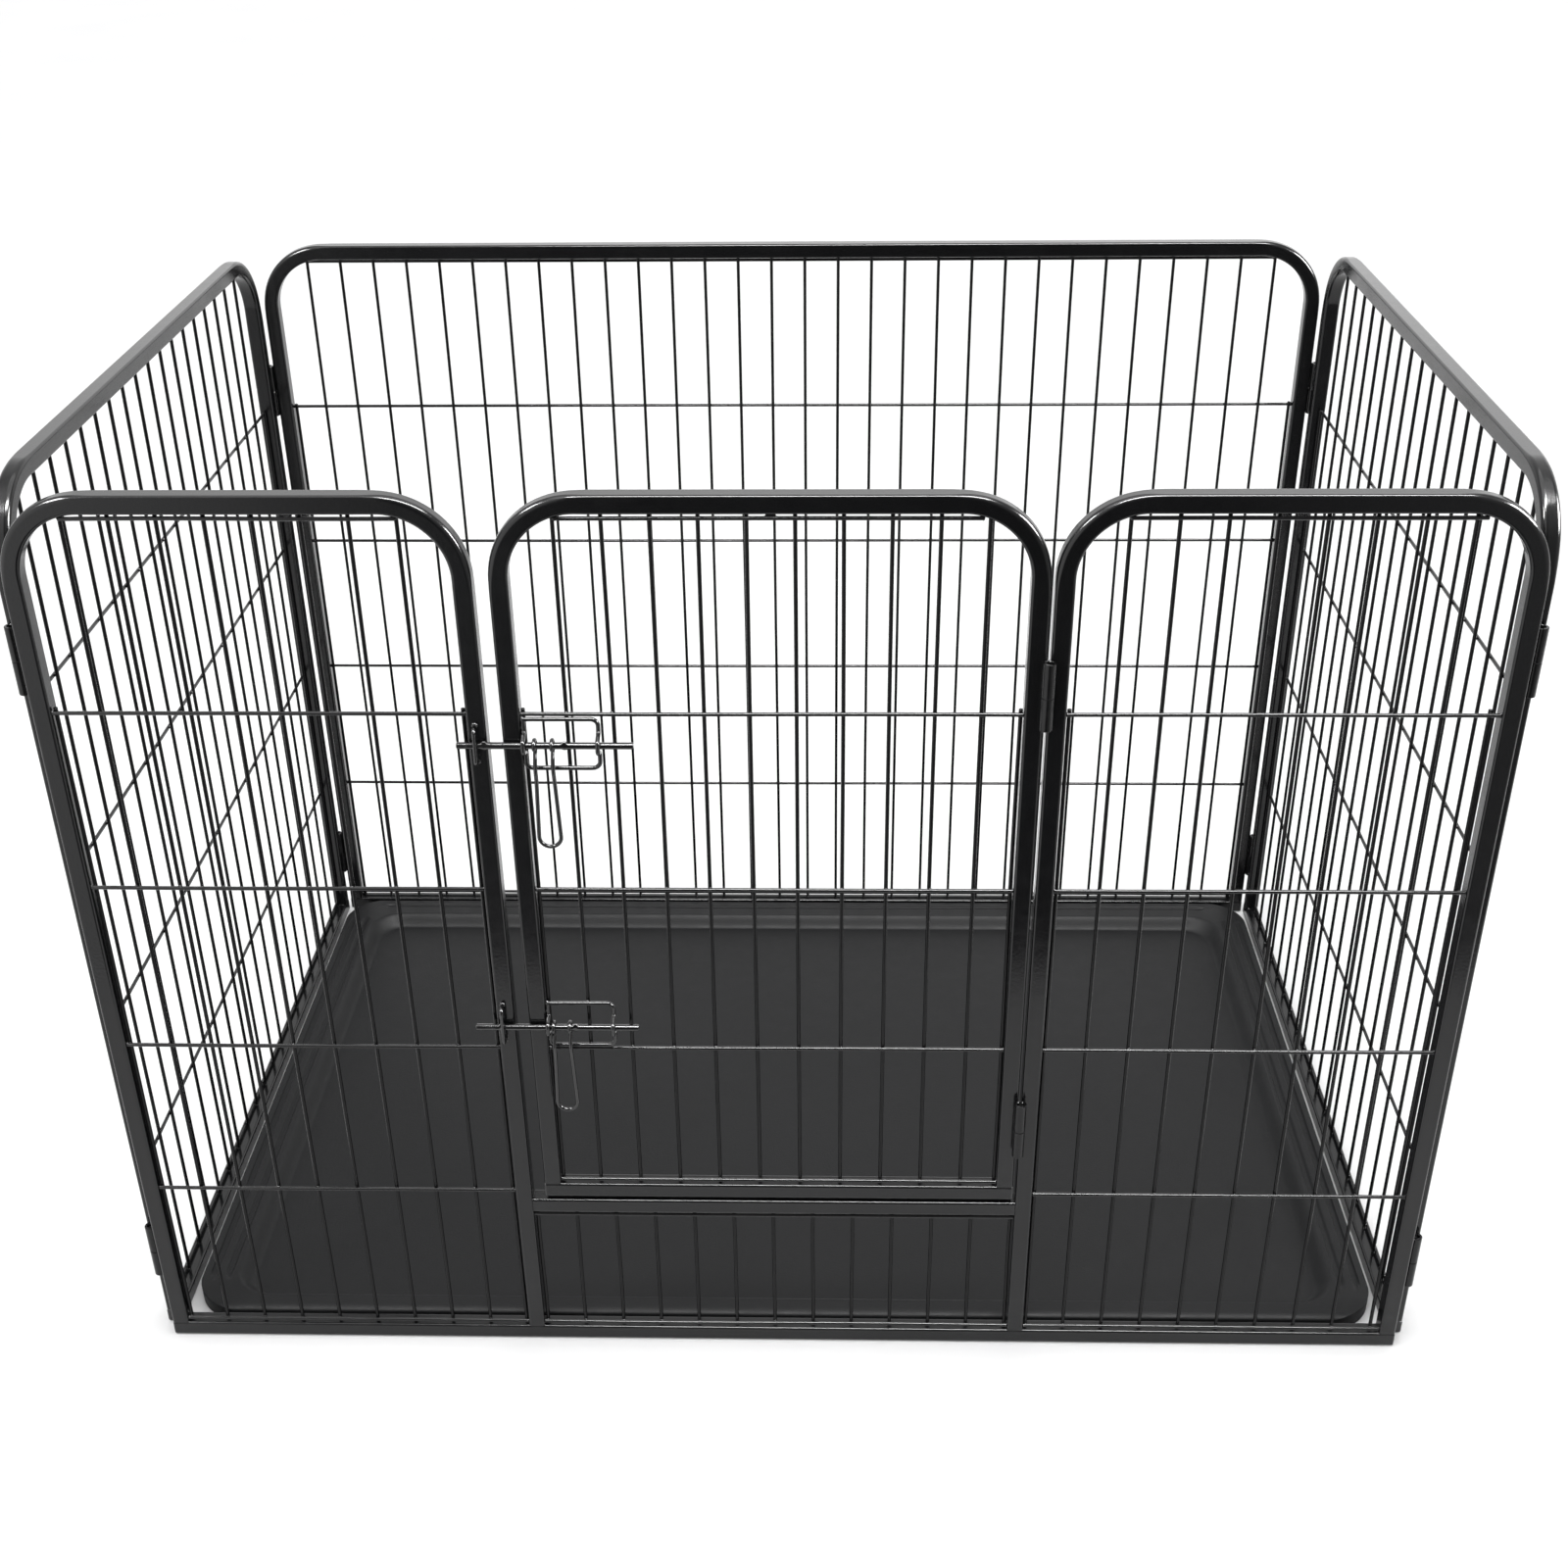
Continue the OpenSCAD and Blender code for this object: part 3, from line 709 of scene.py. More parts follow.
def wires(pn, up_node, lv_node, label, tag_skip=False):
    """The two layers of one grille, with their resistance welds."""
    ups, lvs = [], []
    for lo, hi in solids(up_node):
        a, b = pn.local(lo), pn.local(hi)
        ups.append((np.minimum(a, b), np.maximum(a, b)))
    for lo, hi in solids(lv_node):
        a, b = pn.local(lo), pn.local(hi)
        lvs.append((np.minimum(a, b), np.maximum(a, b)))
    ups.sort(key=lambda t: t[0][0])
    lvs.sort(key=lambda t: t[0][2])
    gu, gl, gw = Geo(), Geo(), Geo()
    ux, lz = [], []
    for lo, hi in ups:
        x, y = (lo[0] + hi[0]) / 2, (lo[1] + hi[1]) / 2
        r = (hi[1] - lo[1]) / 2
        n = 9 if hi[2] - lo[2] > 0.3 else 5
        z = np.linspace(lo[2], hi[2], n)
        t = (z - lo[2]) / (hi[2] - lo[2])
        bow = rng.normal(0, 0.28 * MM) * np.sin(np.pi * t) + rng.normal(0, 0.16 * MM) * np.sin(2 * np.pi * t)
        tube(gu, pn.w(x + bow, y, z), r + PAINT, seg=12, edge=0.5 * MM)
        ux.append((x, y, r, lo[2], hi[2]))
    for lo, hi in lvs:
        z, y = (lo[2] + hi[2]) / 2, (lo[1] + hi[1]) / 2
        r = (hi[1] - lo[1]) / 2
        x = np.linspace(lo[0], hi[0], 13)
        t = (x - lo[0]) / (hi[0] - lo[0])
        bow = rng.normal(0, 0.22 * MM) * np.sin(np.pi * t) + rng.normal(0, 0.18 * MM) * np.sin(2 * np.pi * t)
        tube(gl, pn.w(x, y, z + bow), r + PAINT, seg=12, edge=0.5 * MM)
        lz.append((z, y, r, lo[0], hi[0]))
    for x, y, r, z0, z1 in ux:
        for z, yl, rl, x0, x1 in lz:
            if z0 - 1e-3 < z < z1 + 1e-3 and x0 - 4 * MM < x < x1 + 4 * MM:
                ym = (y + yl) / 2
                s = rng.uniform(0.85, 1.1)
                c = pn.w(x + rng.normal(0, 0.15 * MM), ym, z + rng.normal(0, 0.15 * MM))
                rr = np.abs(pn.ax) * 1.9 * s + np.abs(pn.ay) * 1.5 * s + np.abs(pn.az) * 1.9 * s
                blob(gw, c, rr * MM)
    for z, y, r, x0, x1 in lz:
        for x, s in ((x0, 1), (x1, -1)):
            rr = np.abs(pn.ax) * 1.5 + np.abs(pn.ay) * 1.7 + np.abs(pn.az) * 2.3
            blob(gw, pn.w(x + s * 0.5 * MM, y + 0.2 * MM, z), rr * MM * rng.uniform(0.85, 1.05))
    for x, y, r, z0, z1 in ux:
        rr = np.abs(pn.ax) * 2.2 + np.abs(pn.ay) * 1.9 + np.abs(pn.az) * 1.3
        blob(gw, pn.w(x, y, z0 + 0.4 * MM), rr * MM * rng.uniform(0.85, 1.05))
    # the uprights take the darkened copy of the wire paint, which is painted shade
    gu.build("v_" + up_node, M_WIRE_DARKENED_FOR_SHADE, pn.body, "wire_paint", [up_node])
    gl.build("v_" + lv_node, M_WIRE, pn.body, "wire_paint", [lv_node])
    gw.build(label + "_wire_welds", M_WIRE, pn.body, "wire_paint")


wires(FRONT, "front_left_upright_wires", "front_left_level_wires", "front_left")
wires(FRONT, "front_right_upright_wires", "front_right_level_wires", "front_right")
wires(FRONT, "sill_upright_wires", "sill_level_wires", "sill")
wires(DOOR, "door_upright_wires", "door_level_wires", "door")
wires(BACK, "back_upright_wires", "back_level_wires", "back")
wires(LEFT, "left_upright_wires", "left_level_wires", "left")
wires(RIGHT, "right_upright_wires", "right_level_wires", "right")

# ---- spacer tab over the door's top wire ------------------------------
lo, hi = DOOR.lbox("door_spacer_tab")
g = Geo()
c = (lo + hi) / 2
hh = (hi - lo) / 2
n = 7
xs = np.linspace(lo[0], hi[0], n)
S = []
for i in range(n):
    k = 1 - 0.18 * (abs(i - 3) / 3) ** 3
    s = section(0.35, 0.35, 1.0, 3)
    S.append(np.stack([s[:, 0] * hh[1] * k, s[:, 1] * hh[2], s[:, 2], s[:, 3]], -1))
S = np.array(S)
sweep(g, DOOR.w(xs, c[1], c[2]), np.repeat(DOOR.ay[None], n, 0), np.repeat(DOOR.az[None], n, 0),
      S[..., 0], S[..., 1], S[..., 2], S[..., 3])
for s in (-1, 1):
    blob(g, DOOR.w(c[0] + s * 3.6 * MM, c[1], lo[2] + 0.4 * MM), np.array([1.3, 1.5, 1.0]) * MM)
g.build("v_door_spacer_tab", M_WIRE, "door", "wire_paint", ["door_spacer_tab"])


# ---- hinges -----------------------------------------------------------
def barrel(geo, c, z0, z1, r, bore, seg=28):
    """Turned barrel with broken edges and an open bore."""
    h = (z1 - z0) / MM
    lathe(geo, (c[0], c[1], z0),
          [(bore, h - 0.35), (bore, 0), (bore + 0.3, 0), (r - 0.55, 0), (r - 0.16, 0.16), (r, 0.55),
           (r, h - 0.55), (r - 0.16, h - 0.16), (r - 0.55, h), (bore + 0.35, h), (bore, h - 0.35)], seg)


def pin_mesh(geo, c, z0, z1, r, seg=24):
    h = (z1 - z0) / MM
    lathe(geo, (c[0], c[1], z0),
          [(0, 0), (r, 0), (r, h - 0.9), (r - 0.12, h - 0.45), (r - 0.45, h - 0.12), (r - 0.9, h), (0, h)], seg)


def hinge_group(sock_node, knuckle_node, pin_node, axis_of, wall_of, body_s, body_k):
    """axis_of: solid box -> axis (x, y). wall_of: (x, y, kind) -> direction
    towards the upright that the barrel is welded to."""
    for node, body, kind in ((sock_node, body_s, "s"), (knuckle_node, body_k, "k")):
        if node is None:
            continue
        g = Geo()
        for lo, hi in solids(node):
            ax = axis_of(lo, hi)
            barrel(g, ax, lo[2], hi[2], 5.48, 3.075)
            d = wall_of(ax, kind)
            t = np.array([-d[1], d[0]])
            zc, h = (lo[2] + hi[2]) / 2, hi[2] - lo[2]
            for s in (-1, 1):
                p = np.array(ax) + d * 4.9 * MM + t * s * 2.6 * MM
                a = np.array([p[0], p[1], zc - h * 0.36])
                b = np.array([p[0], p[1], zc + h * 0.36])
                bead(g, a, b, 1.25 * MM, 0.22)
            for e in (-1, 1):
                p = np.array(ax) + d * 5.0 * MM
                blob(g, np.array([p[0], p[1], zc + e * h * 0.38]),
                     np.array([abs(d[0]) * 1.0 + abs(t[0]) * 2.7, abs(d[1]) * 1.0 + abs(t[1]) * 2.7, 2.2]) * MM)
        g.build("v_" + node, M_HINGE, body, "hinge_paint", [node])
    if pin_node:
        g = Geo()
        for lo, hi in solids(pin_node):
            pin_mesh(g, ((lo[0] + hi[0]) / 2, (lo[1] + hi[1]) / 2), lo[2], hi[2], (hi[0] - lo[0]) / 2 / MM)
        g.build("v_" + pin_node, M_PIN, body_k, "pin_paint", [pin_node])


def nearest_axis(axes):
    axes = [np.array(a) for a in axes]

    def f(lo, hi):
        c = np.array([(lo[0] + hi[0]) / 2, (lo[1] + hi[1]) / 2])
        return tuple(min(axes, key=lambda a: np.linalg.norm(a - c)))
    return f


def axes_from(pin_node):
    out = set()
    for lo, hi in solids(pin_node):
        out.add((round((lo[0] + hi[0]) / 2, 6), round((lo[1] + hi[1]) / 2, 6)))
    return sorted(out)


front_axes = axes_from("front_hinge_pins")
rear_axes = axes_from("back_hinge_pins")
door_axes = axes_from("door_hinge_pins")
corner = nearest_axis(front_axes + rear_axes)


def corner_wall(ax, kind):
    if kind == "s":
        return np.array([0.0, 1.0 if ax[1] < 0 else -1.0])
    return np.array([-1.0 if ax[0] > 0 else 1.0, 0.0])


hinge_group("left_hinge_sockets", "front_hinge_knuckles", "front_hinge_pins", corner, corner_wall, "left_panel", "front_panel")
hinge_group("right_hinge_sockets", "back_hinge_knuckles", "back_hinge_pins", corner, corner_wall, "right_panel", "back_panel")


def door_wall(ax, kind):
    return np.array([-0.42, 0.9075]) if kind == "s" else np.array([0.42, 0.9075])


hinge_group("door_hinge_sockets", "door_hinge_knuckles", "door_hinge_pins", nearest_axis(door_axes), door_wall, "door", "front_panel")


# ---- bolts ------------------------------------------------------------
def hump_path(x, y_back, y_out, z_from, z_to, z_rod, half=5.2 * MM):
    """An upright run at depth y_back that steps out over the rod."""
    s = 1 if z_to > z_from else -1
    ramp_z = 4.2 * MM
    return [(x, y_back, z_from),
            (x, y_back, z_rod - s * (half + ramp_z)),
            (x, y_out, z_rod - s * (half - 0.6 * MM)),
            (x, y_out, z_rod + s * (half - 0.6 * MM)),
            (x, y_back, z_rod + s * (half + ramp_z)),
            (x, y_back, z_to)]


def guide_mesh(node, rod_node, label):
    lo, hi = DOOR.lbox(node)
    rlo, rhi = DOOR.lbox(rod_node)
    zr = (rlo[2] + rhi[2]) / 2
    r = 1.95 * MM
    xl, xr = lo[0] + 1.95 * MM, hi[0] - 1.95 * MM
    zt, zb = hi[2] - r, lo[2] + r
    yb = 2.9 * MM
    yo = lo[1] + r
    g = Geo()
    up_r = hump_path(xr, yb, yo, zt, zb, zr)
    up_l = hump_path(xl, yb, yo, zb, zt, zr)
    pts = [(xl - 0.6 * MM, yb - 0.2 * MM, zt)] + up_r + up_l[:-1] + [(xl, yb + 0.4 * MM, zt + 1.6 * MM)]
    rad = [6.5 * MM, 3.2 * MM, 3.2 * MM, 3.2 * MM, 3.2 * MM, 6.5 * MM, 5.0 * MM, 3.2 * MM, 3.2 * MM, 3.2 * MM, 3.2 * MM]
    path = fillet(pts, rad, 6)
    tube(g, DOOR.w(path[:, 0], path[:, 1], path[:, 2]), r, seg=14, edge=0.6 * MM)
    # weld spots: to the door's upright, to the grille behind, at the corner
    for z in (zt, zb + 7 * MM, zr + 14 * MM):
        blob(g, DOOR.w(xl - 0.6 * MM, yb + 0.2 * MM, z), np.array([2.6, 2.0, 2.6]) * MM)
    for ulo, uhi in solids("door_upright_wires"):
        a = DOOR.local((ulo + uhi) / 2)
        if xl + 8 * MM < a[0] < xr - 2 * MM:
            for z in (zt, zb):
                blob(g, DOOR.w(a[0], yb + 1.6 * MM, z), np.array([2.2, 1.5, 2.2]) * MM)
    g.build("v_" + node, M_LATCH, "door", "latch_paint", [node])


guide_mesh("upper_bolt_guide", "upper_bolt_rod", "upper")
guide_mesh("lower_bolt_guide", "lower_bolt_rod", "lower")


def rod_mesh(node, body):
    lo, hi = DOOR.lbox(node)
    yc, zc = (lo[1] + hi[1]) / 2, (lo[2] + hi[2]) / 2
    R = 3.0 * MM
    L = hi[0] - lo[0]
    ears = [23.3 * MM, 90.1 * MM]
    n = 90
    xs = np.unique(np.concatenate([np.linspace(0, L, 40)] + [e + np.linspace(-5, 5, 15) * MM for e in ears]))
    seg = 20
    ang = np.arange(seg) * 2 * math.pi / seg
    rows, nr, hx = [], [], []
    ends = [(0.0, 0.62), (0.12, 0.80), (0.4, 0.93), (0.9, 1.0)]
    st = [(d * MM, k) for d, k in ends] + [(x, 1.0) for x in xs if 1.2 * MM < x < L - 1.2 * MM] + [(L - d * MM, k) for d, k in ends[::-1]]
    P, U, W, NU, NW, NT = [], [], [], [], [], []
    for x, k in st:
        f = max(math.exp(-((x - e) / (2.0 * MM)) ** 4) for e in ears)
        ry = R * k * (1 - 0.42 * f)
        rz = R * k * (1 + 0.36 * f)
        P.append(x)
        U.append(ry * np.cos(ang))
        W.append(rz * np.sin(ang))
        nu, nw = np.cos(ang) / ry, np.sin(ang) / rz
        q = np.sqrt(nu ** 2 + nw ** 2)
        NU.append(nu / q)
        NW.append(nw / q)
        t = 0.0
        if x < 1.0 * MM:
            t = -(1 - k) * 2.2
        if x > L - 1.0 * MM:
            t = (1 - k) * 2.2
        NT.append(np.full(seg, t))
    P = np.array(P)
    g = Geo()
    K = len(P)
    sweep(g, DOOR.w(lo[0] + P, yc, zc), np.repeat(DOOR.ay[None], K, 0), np.repeat(DOOR.az[None], K, 0),
          np.array(U), np.array(W), np.array(NU), np.array(NW), np.array(NT))
    g.build("v_" + node, M_LATCH, body, "latch_paint", [node])
    return yc, zc


def handle_mesh(node, rod_node, body):
    """Hairpin: an eye round the rod, a leg, the bottom bend, back up."""
    lo, hi = DOOR.lbox(node)
    rlo, rhi = DOOR.lbox(rod_node)
    yr, zr = (rlo[1] + rhi[1]) / 2, (rlo[2] + rhi[2]) / 2
    r = 1.75 * MM
    xc = (lo[0] + hi[0]) / 2
    top_s = (hi[0] - lo[0]) / 2 - 2.0 * MM
    zbot = lo[2] + r
    bot_s = top_s + 2.0 * MM
    er = 3.0 * MM + 0.12 * MM + r
    g = Geo()
    pts = []

    def eye(side, x):
        """From the front of the rod, over it and down behind, so that the
        leg leaves below the rod and slants forward."""
        out = []
        for a in np.radians(np.linspace(205, -42, 20)):
            out.append((x + side * 0.0, yr + er * math.cos(a), zr + er * math.sin(a)))
        return out

    yl = yr - er
    left = eye(-1, xc - top_s)
    right = eye(1, xc + top_s)[::-1]
    belly = yl + 1.2 * MM
    lmid = [(xc - top_s, yl + 2.6 * MM, zr - 9.6 * MM), (xc - top_s, yl - 0.5 * MM, zr - 15.5 * MM),
            (xc - top_s, yl - 0.9 * MM, zr - 19 * MM), (xc - top_s - 0.2 * MM, belly, zr - 31 * MM)]
    rmid = [(xc + top_s + 0.2 * MM, belly, zr - 31 * MM), (xc + top_s, yl - 0.9 * MM, zr - 19 * MM),
            (xc + top_s, yl - 0.5 * MM, zr - 15.5 * MM), (xc + top_s, yl + 2.6 * MM, zr - 9.6 * MM)]
    n = 14
    arc = []
    for i in range(n + 1):
        a = math.pi + i / n * math.pi
        arc.append((xc + bot_s * math.cos(a), belly + 0.6 * MM, zbot + bot_s + bot_s * math.sin(a)))
    path = np.array(left + lmid + arc + rmid + right)
    # relax the path so that the wire bends smoothly
    from_end = path.copy()
    dense = [from_end[0]]
    for a, b in zip(from_end[:-1], from_end[1:]):
        m = max(1, int(np.linalg.norm(b - a) / (3 * MM)))
        for j in range(1, m + 1):
            dense.append(a + (b - a) * j / m)
    dense = np.array(dense)
    for _ in range(3):
        q = dense.copy()
        q[20:-20, 1] = 0.25 * dense[19:-21, 1] + 0.5 * dense[20:-20, 1] + 0.25 * dense[21:-19, 1]
        dense = q
    tube(g, DOOR.w(dense[:, 0], dense[:, 1], dense[:, 2]), r, seg=14, edge=0.5 * MM)
    g.build("v_" + node, M_LATCH, body, "latch_paint", [node])


for u in ("upper", "lower"):
    rod_mesh(u + "_bolt_rod", u + "_bolt")
    handle_mesh(u + "_bolt_handle", u + "_bolt_rod", u + "_handle")


def catch_mesh(node):
    lo, hi = FRONT.lbox(node)
    r = 1.6 * MM
    xc = (lo[0] + hi[0]) / 2
    yo = lo[1] + r
    g = Geo()
    pts = [(xc, 1.2 * MM, hi[2] - r), (xc + 0.2 * MM, yo, hi[2] - r - 1.5 * MM), (xc - 0.2 * MM, yo, lo[2] + r + 1.5 * MM), (xc, 1.2 * MM, lo[2] + r)]
    path = fillet(pts, 3.6 * MM, 7)
    tube(g, FRONT.w(path[:, 0], path[:, 1], path[:, 2]), r, seg=14, edge=0.3 * MM)
    for z in (lo[2] + r, hi[2] - r):
        blob(g, FRONT.w(xc, -0.1 * MM, z), np.array([3.0, 1.5, 2.6]) * MM, seg=10, rings=6)
    g.build("v_" + node, M_LATCH, "front_panel", "latch_paint", [node])


catch_mesh("upper_bolt_catch")
catch_mesh("lower_bolt_catch")


# ---- tray ---------------------------------------------------------------
def tray():
    lo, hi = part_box("floor_tray")
    L, Wd = hi.x - lo.x, hi.y - lo.y
    cx, cy = (lo.x + hi.x) / 2, (lo.y + hi.y) / 2
    H = hi.z
    rim_s, rim_f, rim_b = 52 * MM, 30 * MM, 46 * MM
    floor_z = 2.0 * MM
    R0, R1 = 48 * MM, 34 * MM

    def ring(a_s, a_f, a_b, r, nseg, nx, ny):
        """Rounded outline with insets; the same number of points each time."""
        x0, x1 = -L / 2 + a_s, L / 2 - a_s
        y0, y1 = -Wd / 2 + a_f, Wd / 2 - a_b
        pts = []

        def seg(p, q, n):
            for i in range(n):
                t = i / n
                pts.append((p[0] + (q[0] - p[0]) * t, p[1] + (q[1] - p[1]) * t))

        def arc(c, a0, n):
            for i in range(n):
                a = a0 + math.pi / 2 * i / n
                pts.append((c[0] + r * math.cos(a), c[1] + r * math.sin(a)))

        seg((x0 + r, y0), (x1 - r, y0), nx)
        arc((x1 - r, y0 + r), -math.pi / 2, nseg)
        seg((x1, y0 + r), (x1, y1 - r), ny)
        arc((x1 - r, y1 - r), 0, nseg)
        seg((x1 - r, y1), (x0 + r, y1), nx)
        arc((x0 + r, y1 - r), math.pi / 2, nseg)
        seg((x0, y1 - r), (x0, y0 + r), ny)
        arc((x0 + r, y0 + r), math.pi, nseg)
        return np.array(pts)

    nseg, nx, ny = 14, 200, 126
    # profile across the rim, t = 0 at the outside wall, 1 at the well's foot
    ts = np.unique(np.concatenate([np.linspace(0.0, 1.0, 53), np.linspace(0.0, 0.06, 9), np.linspace(0.06, 0.34, 15), np.linspace(0.60, 1.0, 33)]))
    rings, zs = [], []
    for t in ts:
        r = R0 + (R1 - R0) * t
        rings.append(ring(rim_s * t, rim_f * t, rim_b * t, r, nseg, nx, ny))
    rings = np.array(rings)
    X, Y = rings[..., 0], rings[..., 1]
    T = ts[:, None] * np.ones_like(X)
    # distances inward from each outer side
    dl = X + L / 2
    dr = L / 2 - X
    df = Y + Wd / 2
    db = Wd / 2 - Y

    def slot(d, c, w, along, half, end):
        """1 in a groove of width w centred at distance c, with round ends."""
        over = np.maximum(np.abs(along) - (half - end - w / 2), 0)
        dist = np.sqrt((d - c) ** 2 + over ** 2)
        return 1 - smooth((dist - w / 2 + 0.9 * MM) / (1.9 * MM))

    Z = np.full_like(X, H)
    # rounded outer lip
    e = np.minimum(np.minimum(dl, dr), np.minimum(df, db))
    near = smooth(1 - df / (26 * MM) + 0.25)
    lip = 1.3 * MM + 3.4 * MM * near
    wide = 1.6 * MM + 8.4 * MM * near
    k = 1 - np.clip(e / wide, 0, 1)
    Z -= lip * (1 - np.sqrt(np.clip(1 - k ** 2, 0, 1)))
    # slope from the rim down to the floor
    s = np.clip((T - 0.66) / 0.34, 0, 1)
    slope = smooth(s)
    grooves = np.maximum.reduce([
        slot(dl, 11 * MM, 6.5 * MM, Y, Wd / 2, 46 * MM), slot(dr, 11 * MM, 6.5 * MM, Y, Wd / 2, 46 * MM),
        slot(dl, 26.5 * MM, 6.5 * MM, Y, Wd / 2, 46 * MM), slot(dr, 26.5 * MM, 6.5 * MM, Y, Wd / 2, 46 * MM),
        slot(db, 12.5 * MM, 7 * MM, X, L / 2, 50 * MM)])
    Z -= 2.6 * MM * grooves
    Z = Z * (1 - slope) + floor_z * slope
    # the sheet isn't quite flat
    wav = 0.35 * MM * np.sin(X * 7.1 + 1.0) * np.cos(Y * 9.3)
    Z += wav * (T < 0.66)
    Z = np.minimum(Z, H)
    V = np.stack([X + cx, Y + cy, Z], -1)
    K, M = X.shape
    # outer wall, down to the floor
    wall_z = [0.0, 0.6 * MM, 2.0 * MM, H * 0.4, H - 5.4 * MM]
    outw = []
    for z in wall_z:
        rr = ring(0, 0, 0, R0, nseg, nx, ny)
        outw.append(np.stack([rr[:, 0] + cx, rr[:, 1] + cy, np.full(M, z)], -1))
    V = np.concatenate([np.array(outw), V])
    K += len(wall_z)
    # floor: rings that shrink to the middle
    inner = V[-1]
    fl = []
    c = inner.mean(0)
    for k in (0.985, 0.95, 0.9, 0.8, 0.65, 0.5, 0.35, 0.2, 0.08):
        q = c + (inner - c) * k
        q[:, 2] = floor_z
        fl.append(q)
    fl = np.array(fl)
    V = np.concatenate([V, fl])
    K += len(fl)
    VV = V.reshape(-1, 3)
    F = grid_faces(K, M, True, False)
    # smooth normals by area
    p = VV[F]
    fn = np.cross(p[:, 2] - p[:, 0], p[:, 3] - p[:, 1])
    fn *= np.where(fn[:, 2] < 0, -1.0, 1.0)[:, None]
    ctr = p.mean(1)
    horiz = np.abs(fn[:, 2]) < 0.02 * np.linalg.norm(fn, axis=1)
    outd = ctr - np.array([cx, cy, 0])
    outd[:, 2] = 0
    sgn = np.sign(np.einsum("ij,ij->i", fn, outd))
    fn[horiz] *= sgn[horiz][:, None]
    vn = np.zeros_like(VV)
    for j in range(4):
        np.add.at(vn, F[:, j], fn)
    vn /= np.maximum(np.linalg.norm(vn, axis=1, keepdims=True), 1e-12)
    g = Geo()
    base = g.n
    g.add(VV, F, vn[F])
    g.more((np.arange(M) + (K - 1) * M)[None], np.broadcast_to([0, 0, 1.0], (1, M, 3)), base, VV)
    g.more(np.arange(M)[None], np.broadcast_to([0, 0, -1.0], (1, M, 3)), base, VV)
    g.build("v_floor_tray", M_TRAY, "tray", "tray_plastic", ["floor_tray"])


tray()

# =====================================================================
# floor, light, camera
# =====================================================================


def plane(name, x0, x1, y0, y1, z):
    me = bpy.data.meshes.new(name)
    me.from_pydata([(x0, y0, z), (x1, y0, z), (x1, y1, z), (x0, y1, z)], [], [(0, 1, 2, 3)])
    ob = bpy.data.objects.new(name, me)
    bpy.context.scene.collection.objects.link(ob)
    return ob


floor = plane("floor", -14, 14, -1.05, 14, -0.0006)
fm, nt, b, co = new_mat("floor_white")
c = mix(nt, noise(nt, co, 2.0, 2.0), (0.86, 0.86, 0.865), (0.90, 0.90, 0.90))
nt.links.new(c, b.inputs["Base Color"])
b.inputs["Roughness"].default_value = 0.7
b.inputs["Specular IOR Level"].default_value = 0.1
floor.data.materials.append(fm)

world = bpy.data.worlds.new("studio")
bpy.context.scene.world = world
world.use_nodes = True
nt = world.node_tree
for n in list(nt.nodes):
    nt.nodes.remove(n)
out = nt.nodes.new("ShaderNodeOutputWorld")
tc = nt.nodes.new("ShaderNodeTexCoord")
sep = nt.nodes.new("ShaderNodeSeparateXYZ")
nt.links.new(tc.outputs["Generated"], sep.inputs[0])


def vr(src, a, b, lo, hi):
    m = nt.nodes.new("ShaderNodeMapRange")
    m.interpolation_type = "SMOOTHSTEP"
    m.inputs["From Min"].default_value = a
    m.inputs["From Max"].default_value = b
    m.inputs["To Min"].default_value = lo
    m.inputs["To Max"].default_value = hi
    nt.links.new(src, m.inputs["Value"])
    return m.outputs["Result"]


def op(kind, a, b):
    m = nt.nodes.new("ShaderNodeMath")
    m.operation = kind
    for i, x in enumerate((a, b)):
        if isinstance(x, (int, float)):
            m.inputs[i].default_value = x
        else:
            nt.links.new(x, m.inputs[i])
    return m.outputs[0]


x, y, z = sep.outputs[0], sep.outputs[1], sep.outputs[2]
back = op("MULTIPLY", op("MULTIPLY", vr(y, 0.0, 0.55, 0.0, 1.75), vr(z, -0.25, 0.1, 0.0, 1.0)), vr(z, 0.36, 0.7, 1.0, 0.5))
back = op("MULTIPLY", back, vr(x, -0.55, 0.05, 0.72, 1.0))
top_l = vr(z, 0.3, 0.8, 0.0, 0.5)
left_l = op("MULTIPLY", vr(x, -0.12, -0.5, 0.0, 1.6), vr(y, 0.3, -0.1, 0.0, 1.0))
right_l = op("MULTIPLY", vr(x, 0.15, 0.5, 0.0, 0.5), vr(y, 0.3, -0.1, 0.0, 1.0))
s = op("ADD", op("ADD", back, top_l), op("ADD", op("ADD", left_l, right_l), 0.06))
bg_env = nt.nodes.new("ShaderNodeBackground")
bg_env.inputs[0].default_value = (1.0, 1.0, 1.0, 1)
nt.links.new(s, bg_env.inputs[1])
bg_cam = nt.nodes.new("ShaderNodeBackground")
bg_cam.inputs[0].default_value = (1, 1, 1, 1)
bg_cam.inputs[1].default_value = 1.0
lp = nt.nodes.new("ShaderNodeLightPath")
mx = nt.nodes.new("ShaderNodeMixShader")
nt.links.new(lp.outputs["Is Camera Ray"], mx.inputs[0])
nt.links.new(bg_env.outputs[0], mx.inputs[1])
nt.links.new(bg_cam.outputs[0], mx.inputs[2])
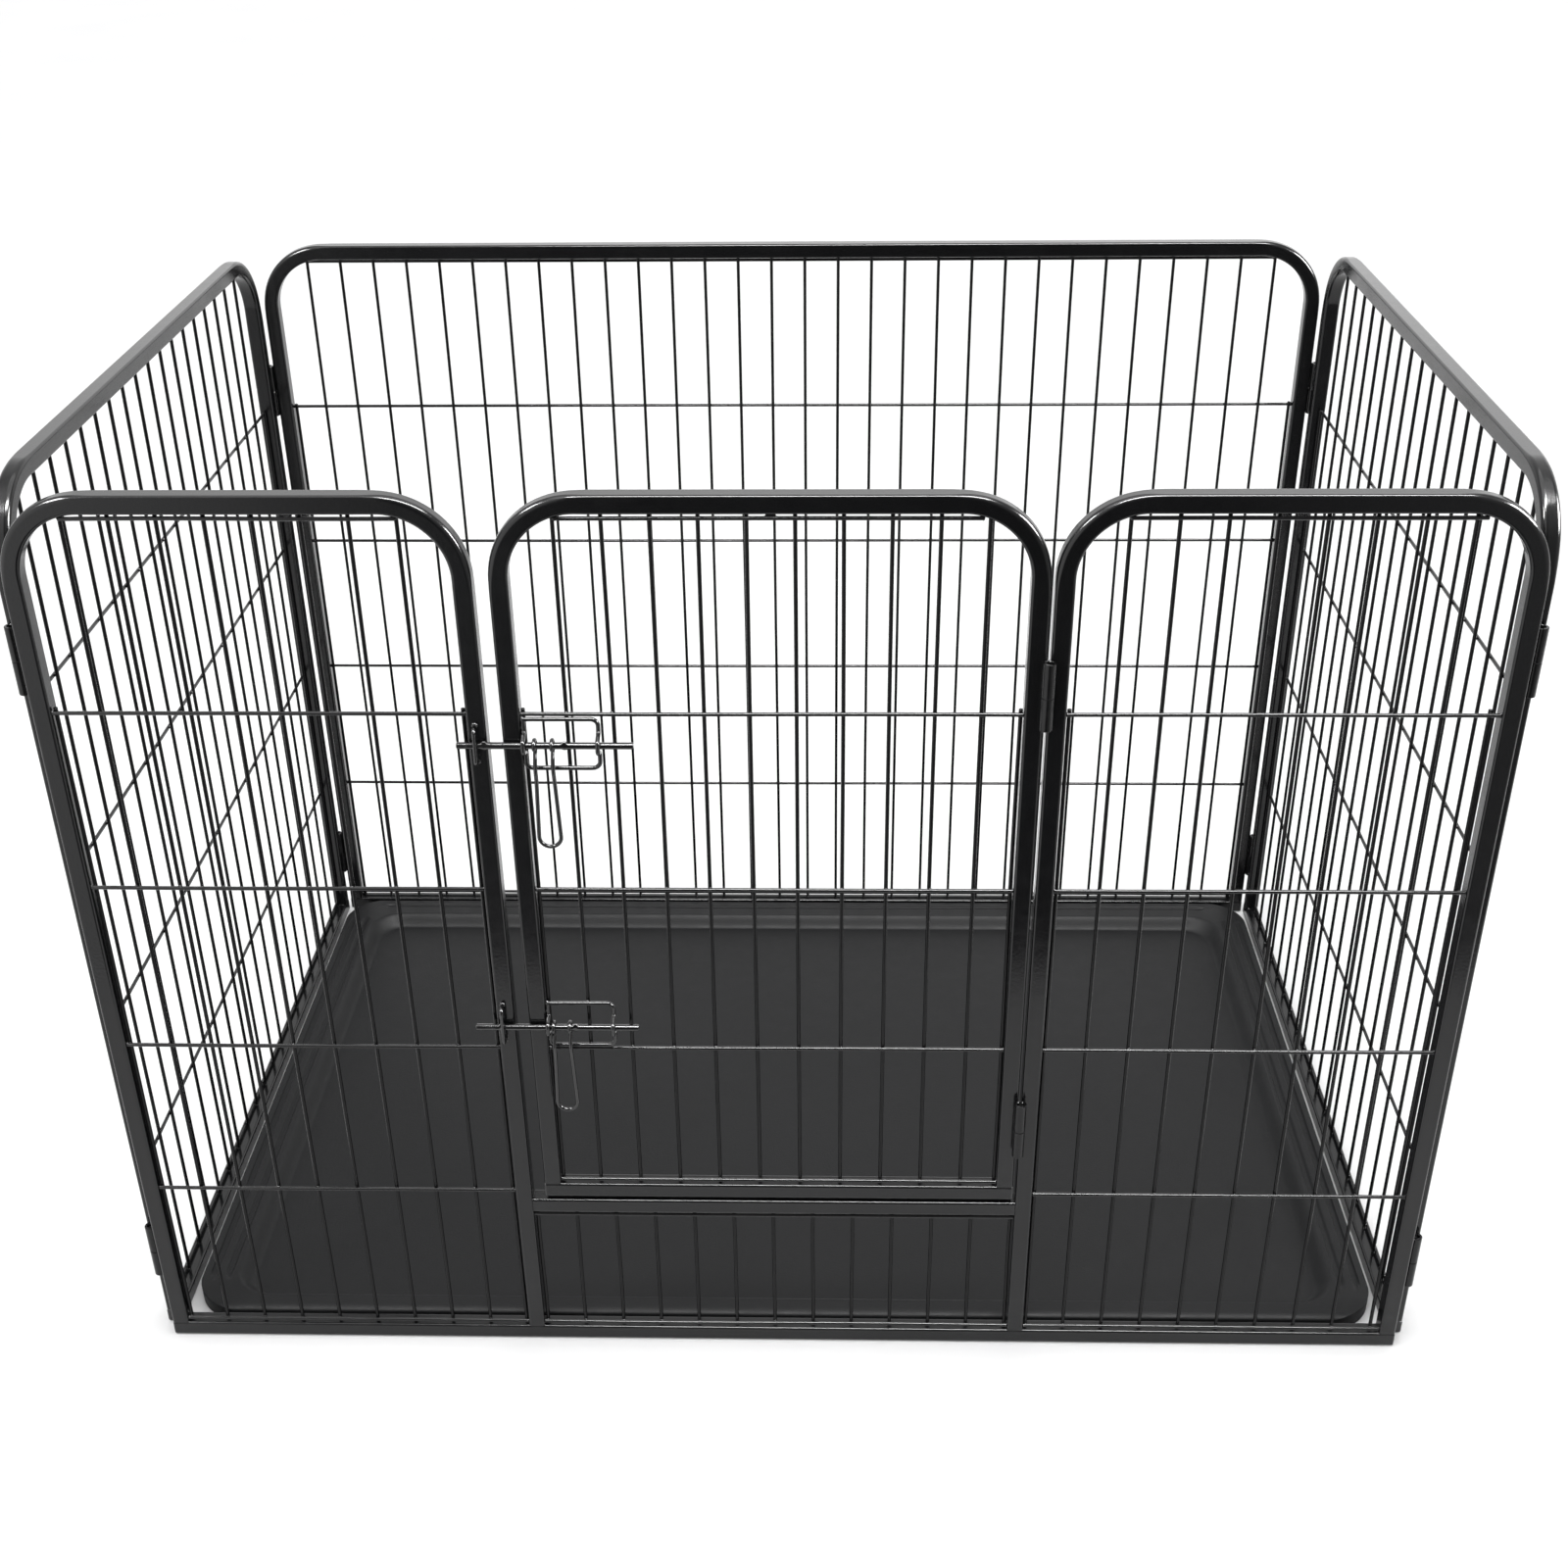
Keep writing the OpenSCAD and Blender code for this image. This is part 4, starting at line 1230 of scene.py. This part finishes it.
nt.links.new(mx.outputs[0], out.inputs[0])


def area(name, pos, target, sx, sy, power):
    l = bpy.data.lights.new(name, "AREA")
    l.shape = "RECTANGLE"
    l.size, l.size_y = sx, sy
    l.energy = power
    ob = bpy.data.objects.new(name, l)
    bpy.context.scene.collection.objects.link(ob)
    ob.location = pos
    d = Vector(target) - Vector(pos)
    ob.rotation_euler = d.to_track_quat("-Z", "Y").to_euler()
    return ob


area("soft_top", (0.1, -0.4, 3.2), (0, 0, 0), 3.0, 2.4, 50)
ob = area("fill_front", (0.0, -2.6, 2.9), (0, -0.7, 0), 3.2, 1.4, 9)
ob.visible_glossy = False
# strip boxes seen only as reflections in the paint
for name, pos, target, sx, sy, power in (
        ("strip_top", (0.35, -1.25, 3.1), (0.1, -0.3, 0.6), 2.1, 0.42, 230),
        ("strip_left", (-1.97, -1.18, 2.54), (-0.2, -0.4, 0.85), 0.7, 0.7, 100),
        ("strip_right", (2.9, -0.75, 1.95), (0.4, -0.4, 0.85), 1.2, 1.2, 360)):
    ob = area(name, pos, target, sx, sy, power)
    ob.visible_diffuse = False

cam = bpy.data.cameras.new("camera")
cam.sensor_width = 36.0
cam.sensor_fit = "HORIZONTAL"
cam.lens = 43.51
co_ = bpy.data.objects.new("camera", cam)
bpy.context.scene.collection.objects.link(co_)
pitch, yaw, roll = 0.5175, -0.0287, -0.0116
pos = Vector((0.0508, -1.7803, 1.4301))
fwd = Vector((math.sin(yaw) * math.cos(pitch), math.cos(yaw) * math.cos(pitch), -math.sin(pitch)))
right = Vector((math.cos(yaw), -math.sin(yaw), 0))
up = right.cross(fwd)
r2 = right * math.cos(roll) + up * math.sin(roll)
u2 = -right * math.sin(roll) + up * math.cos(roll)
m = Matrix((r2, u2, -fwd)).transposed().to_4x4()
m.translation = pos
co_.matrix_world = m
cam.clip_start = 0.05
cam.clip_end = 60
bpy.context.scene.camera = co_
bpy.context.scene.view_settings.view_transform = "Standard"
bpy.context.scene.view_settings.look = "None"
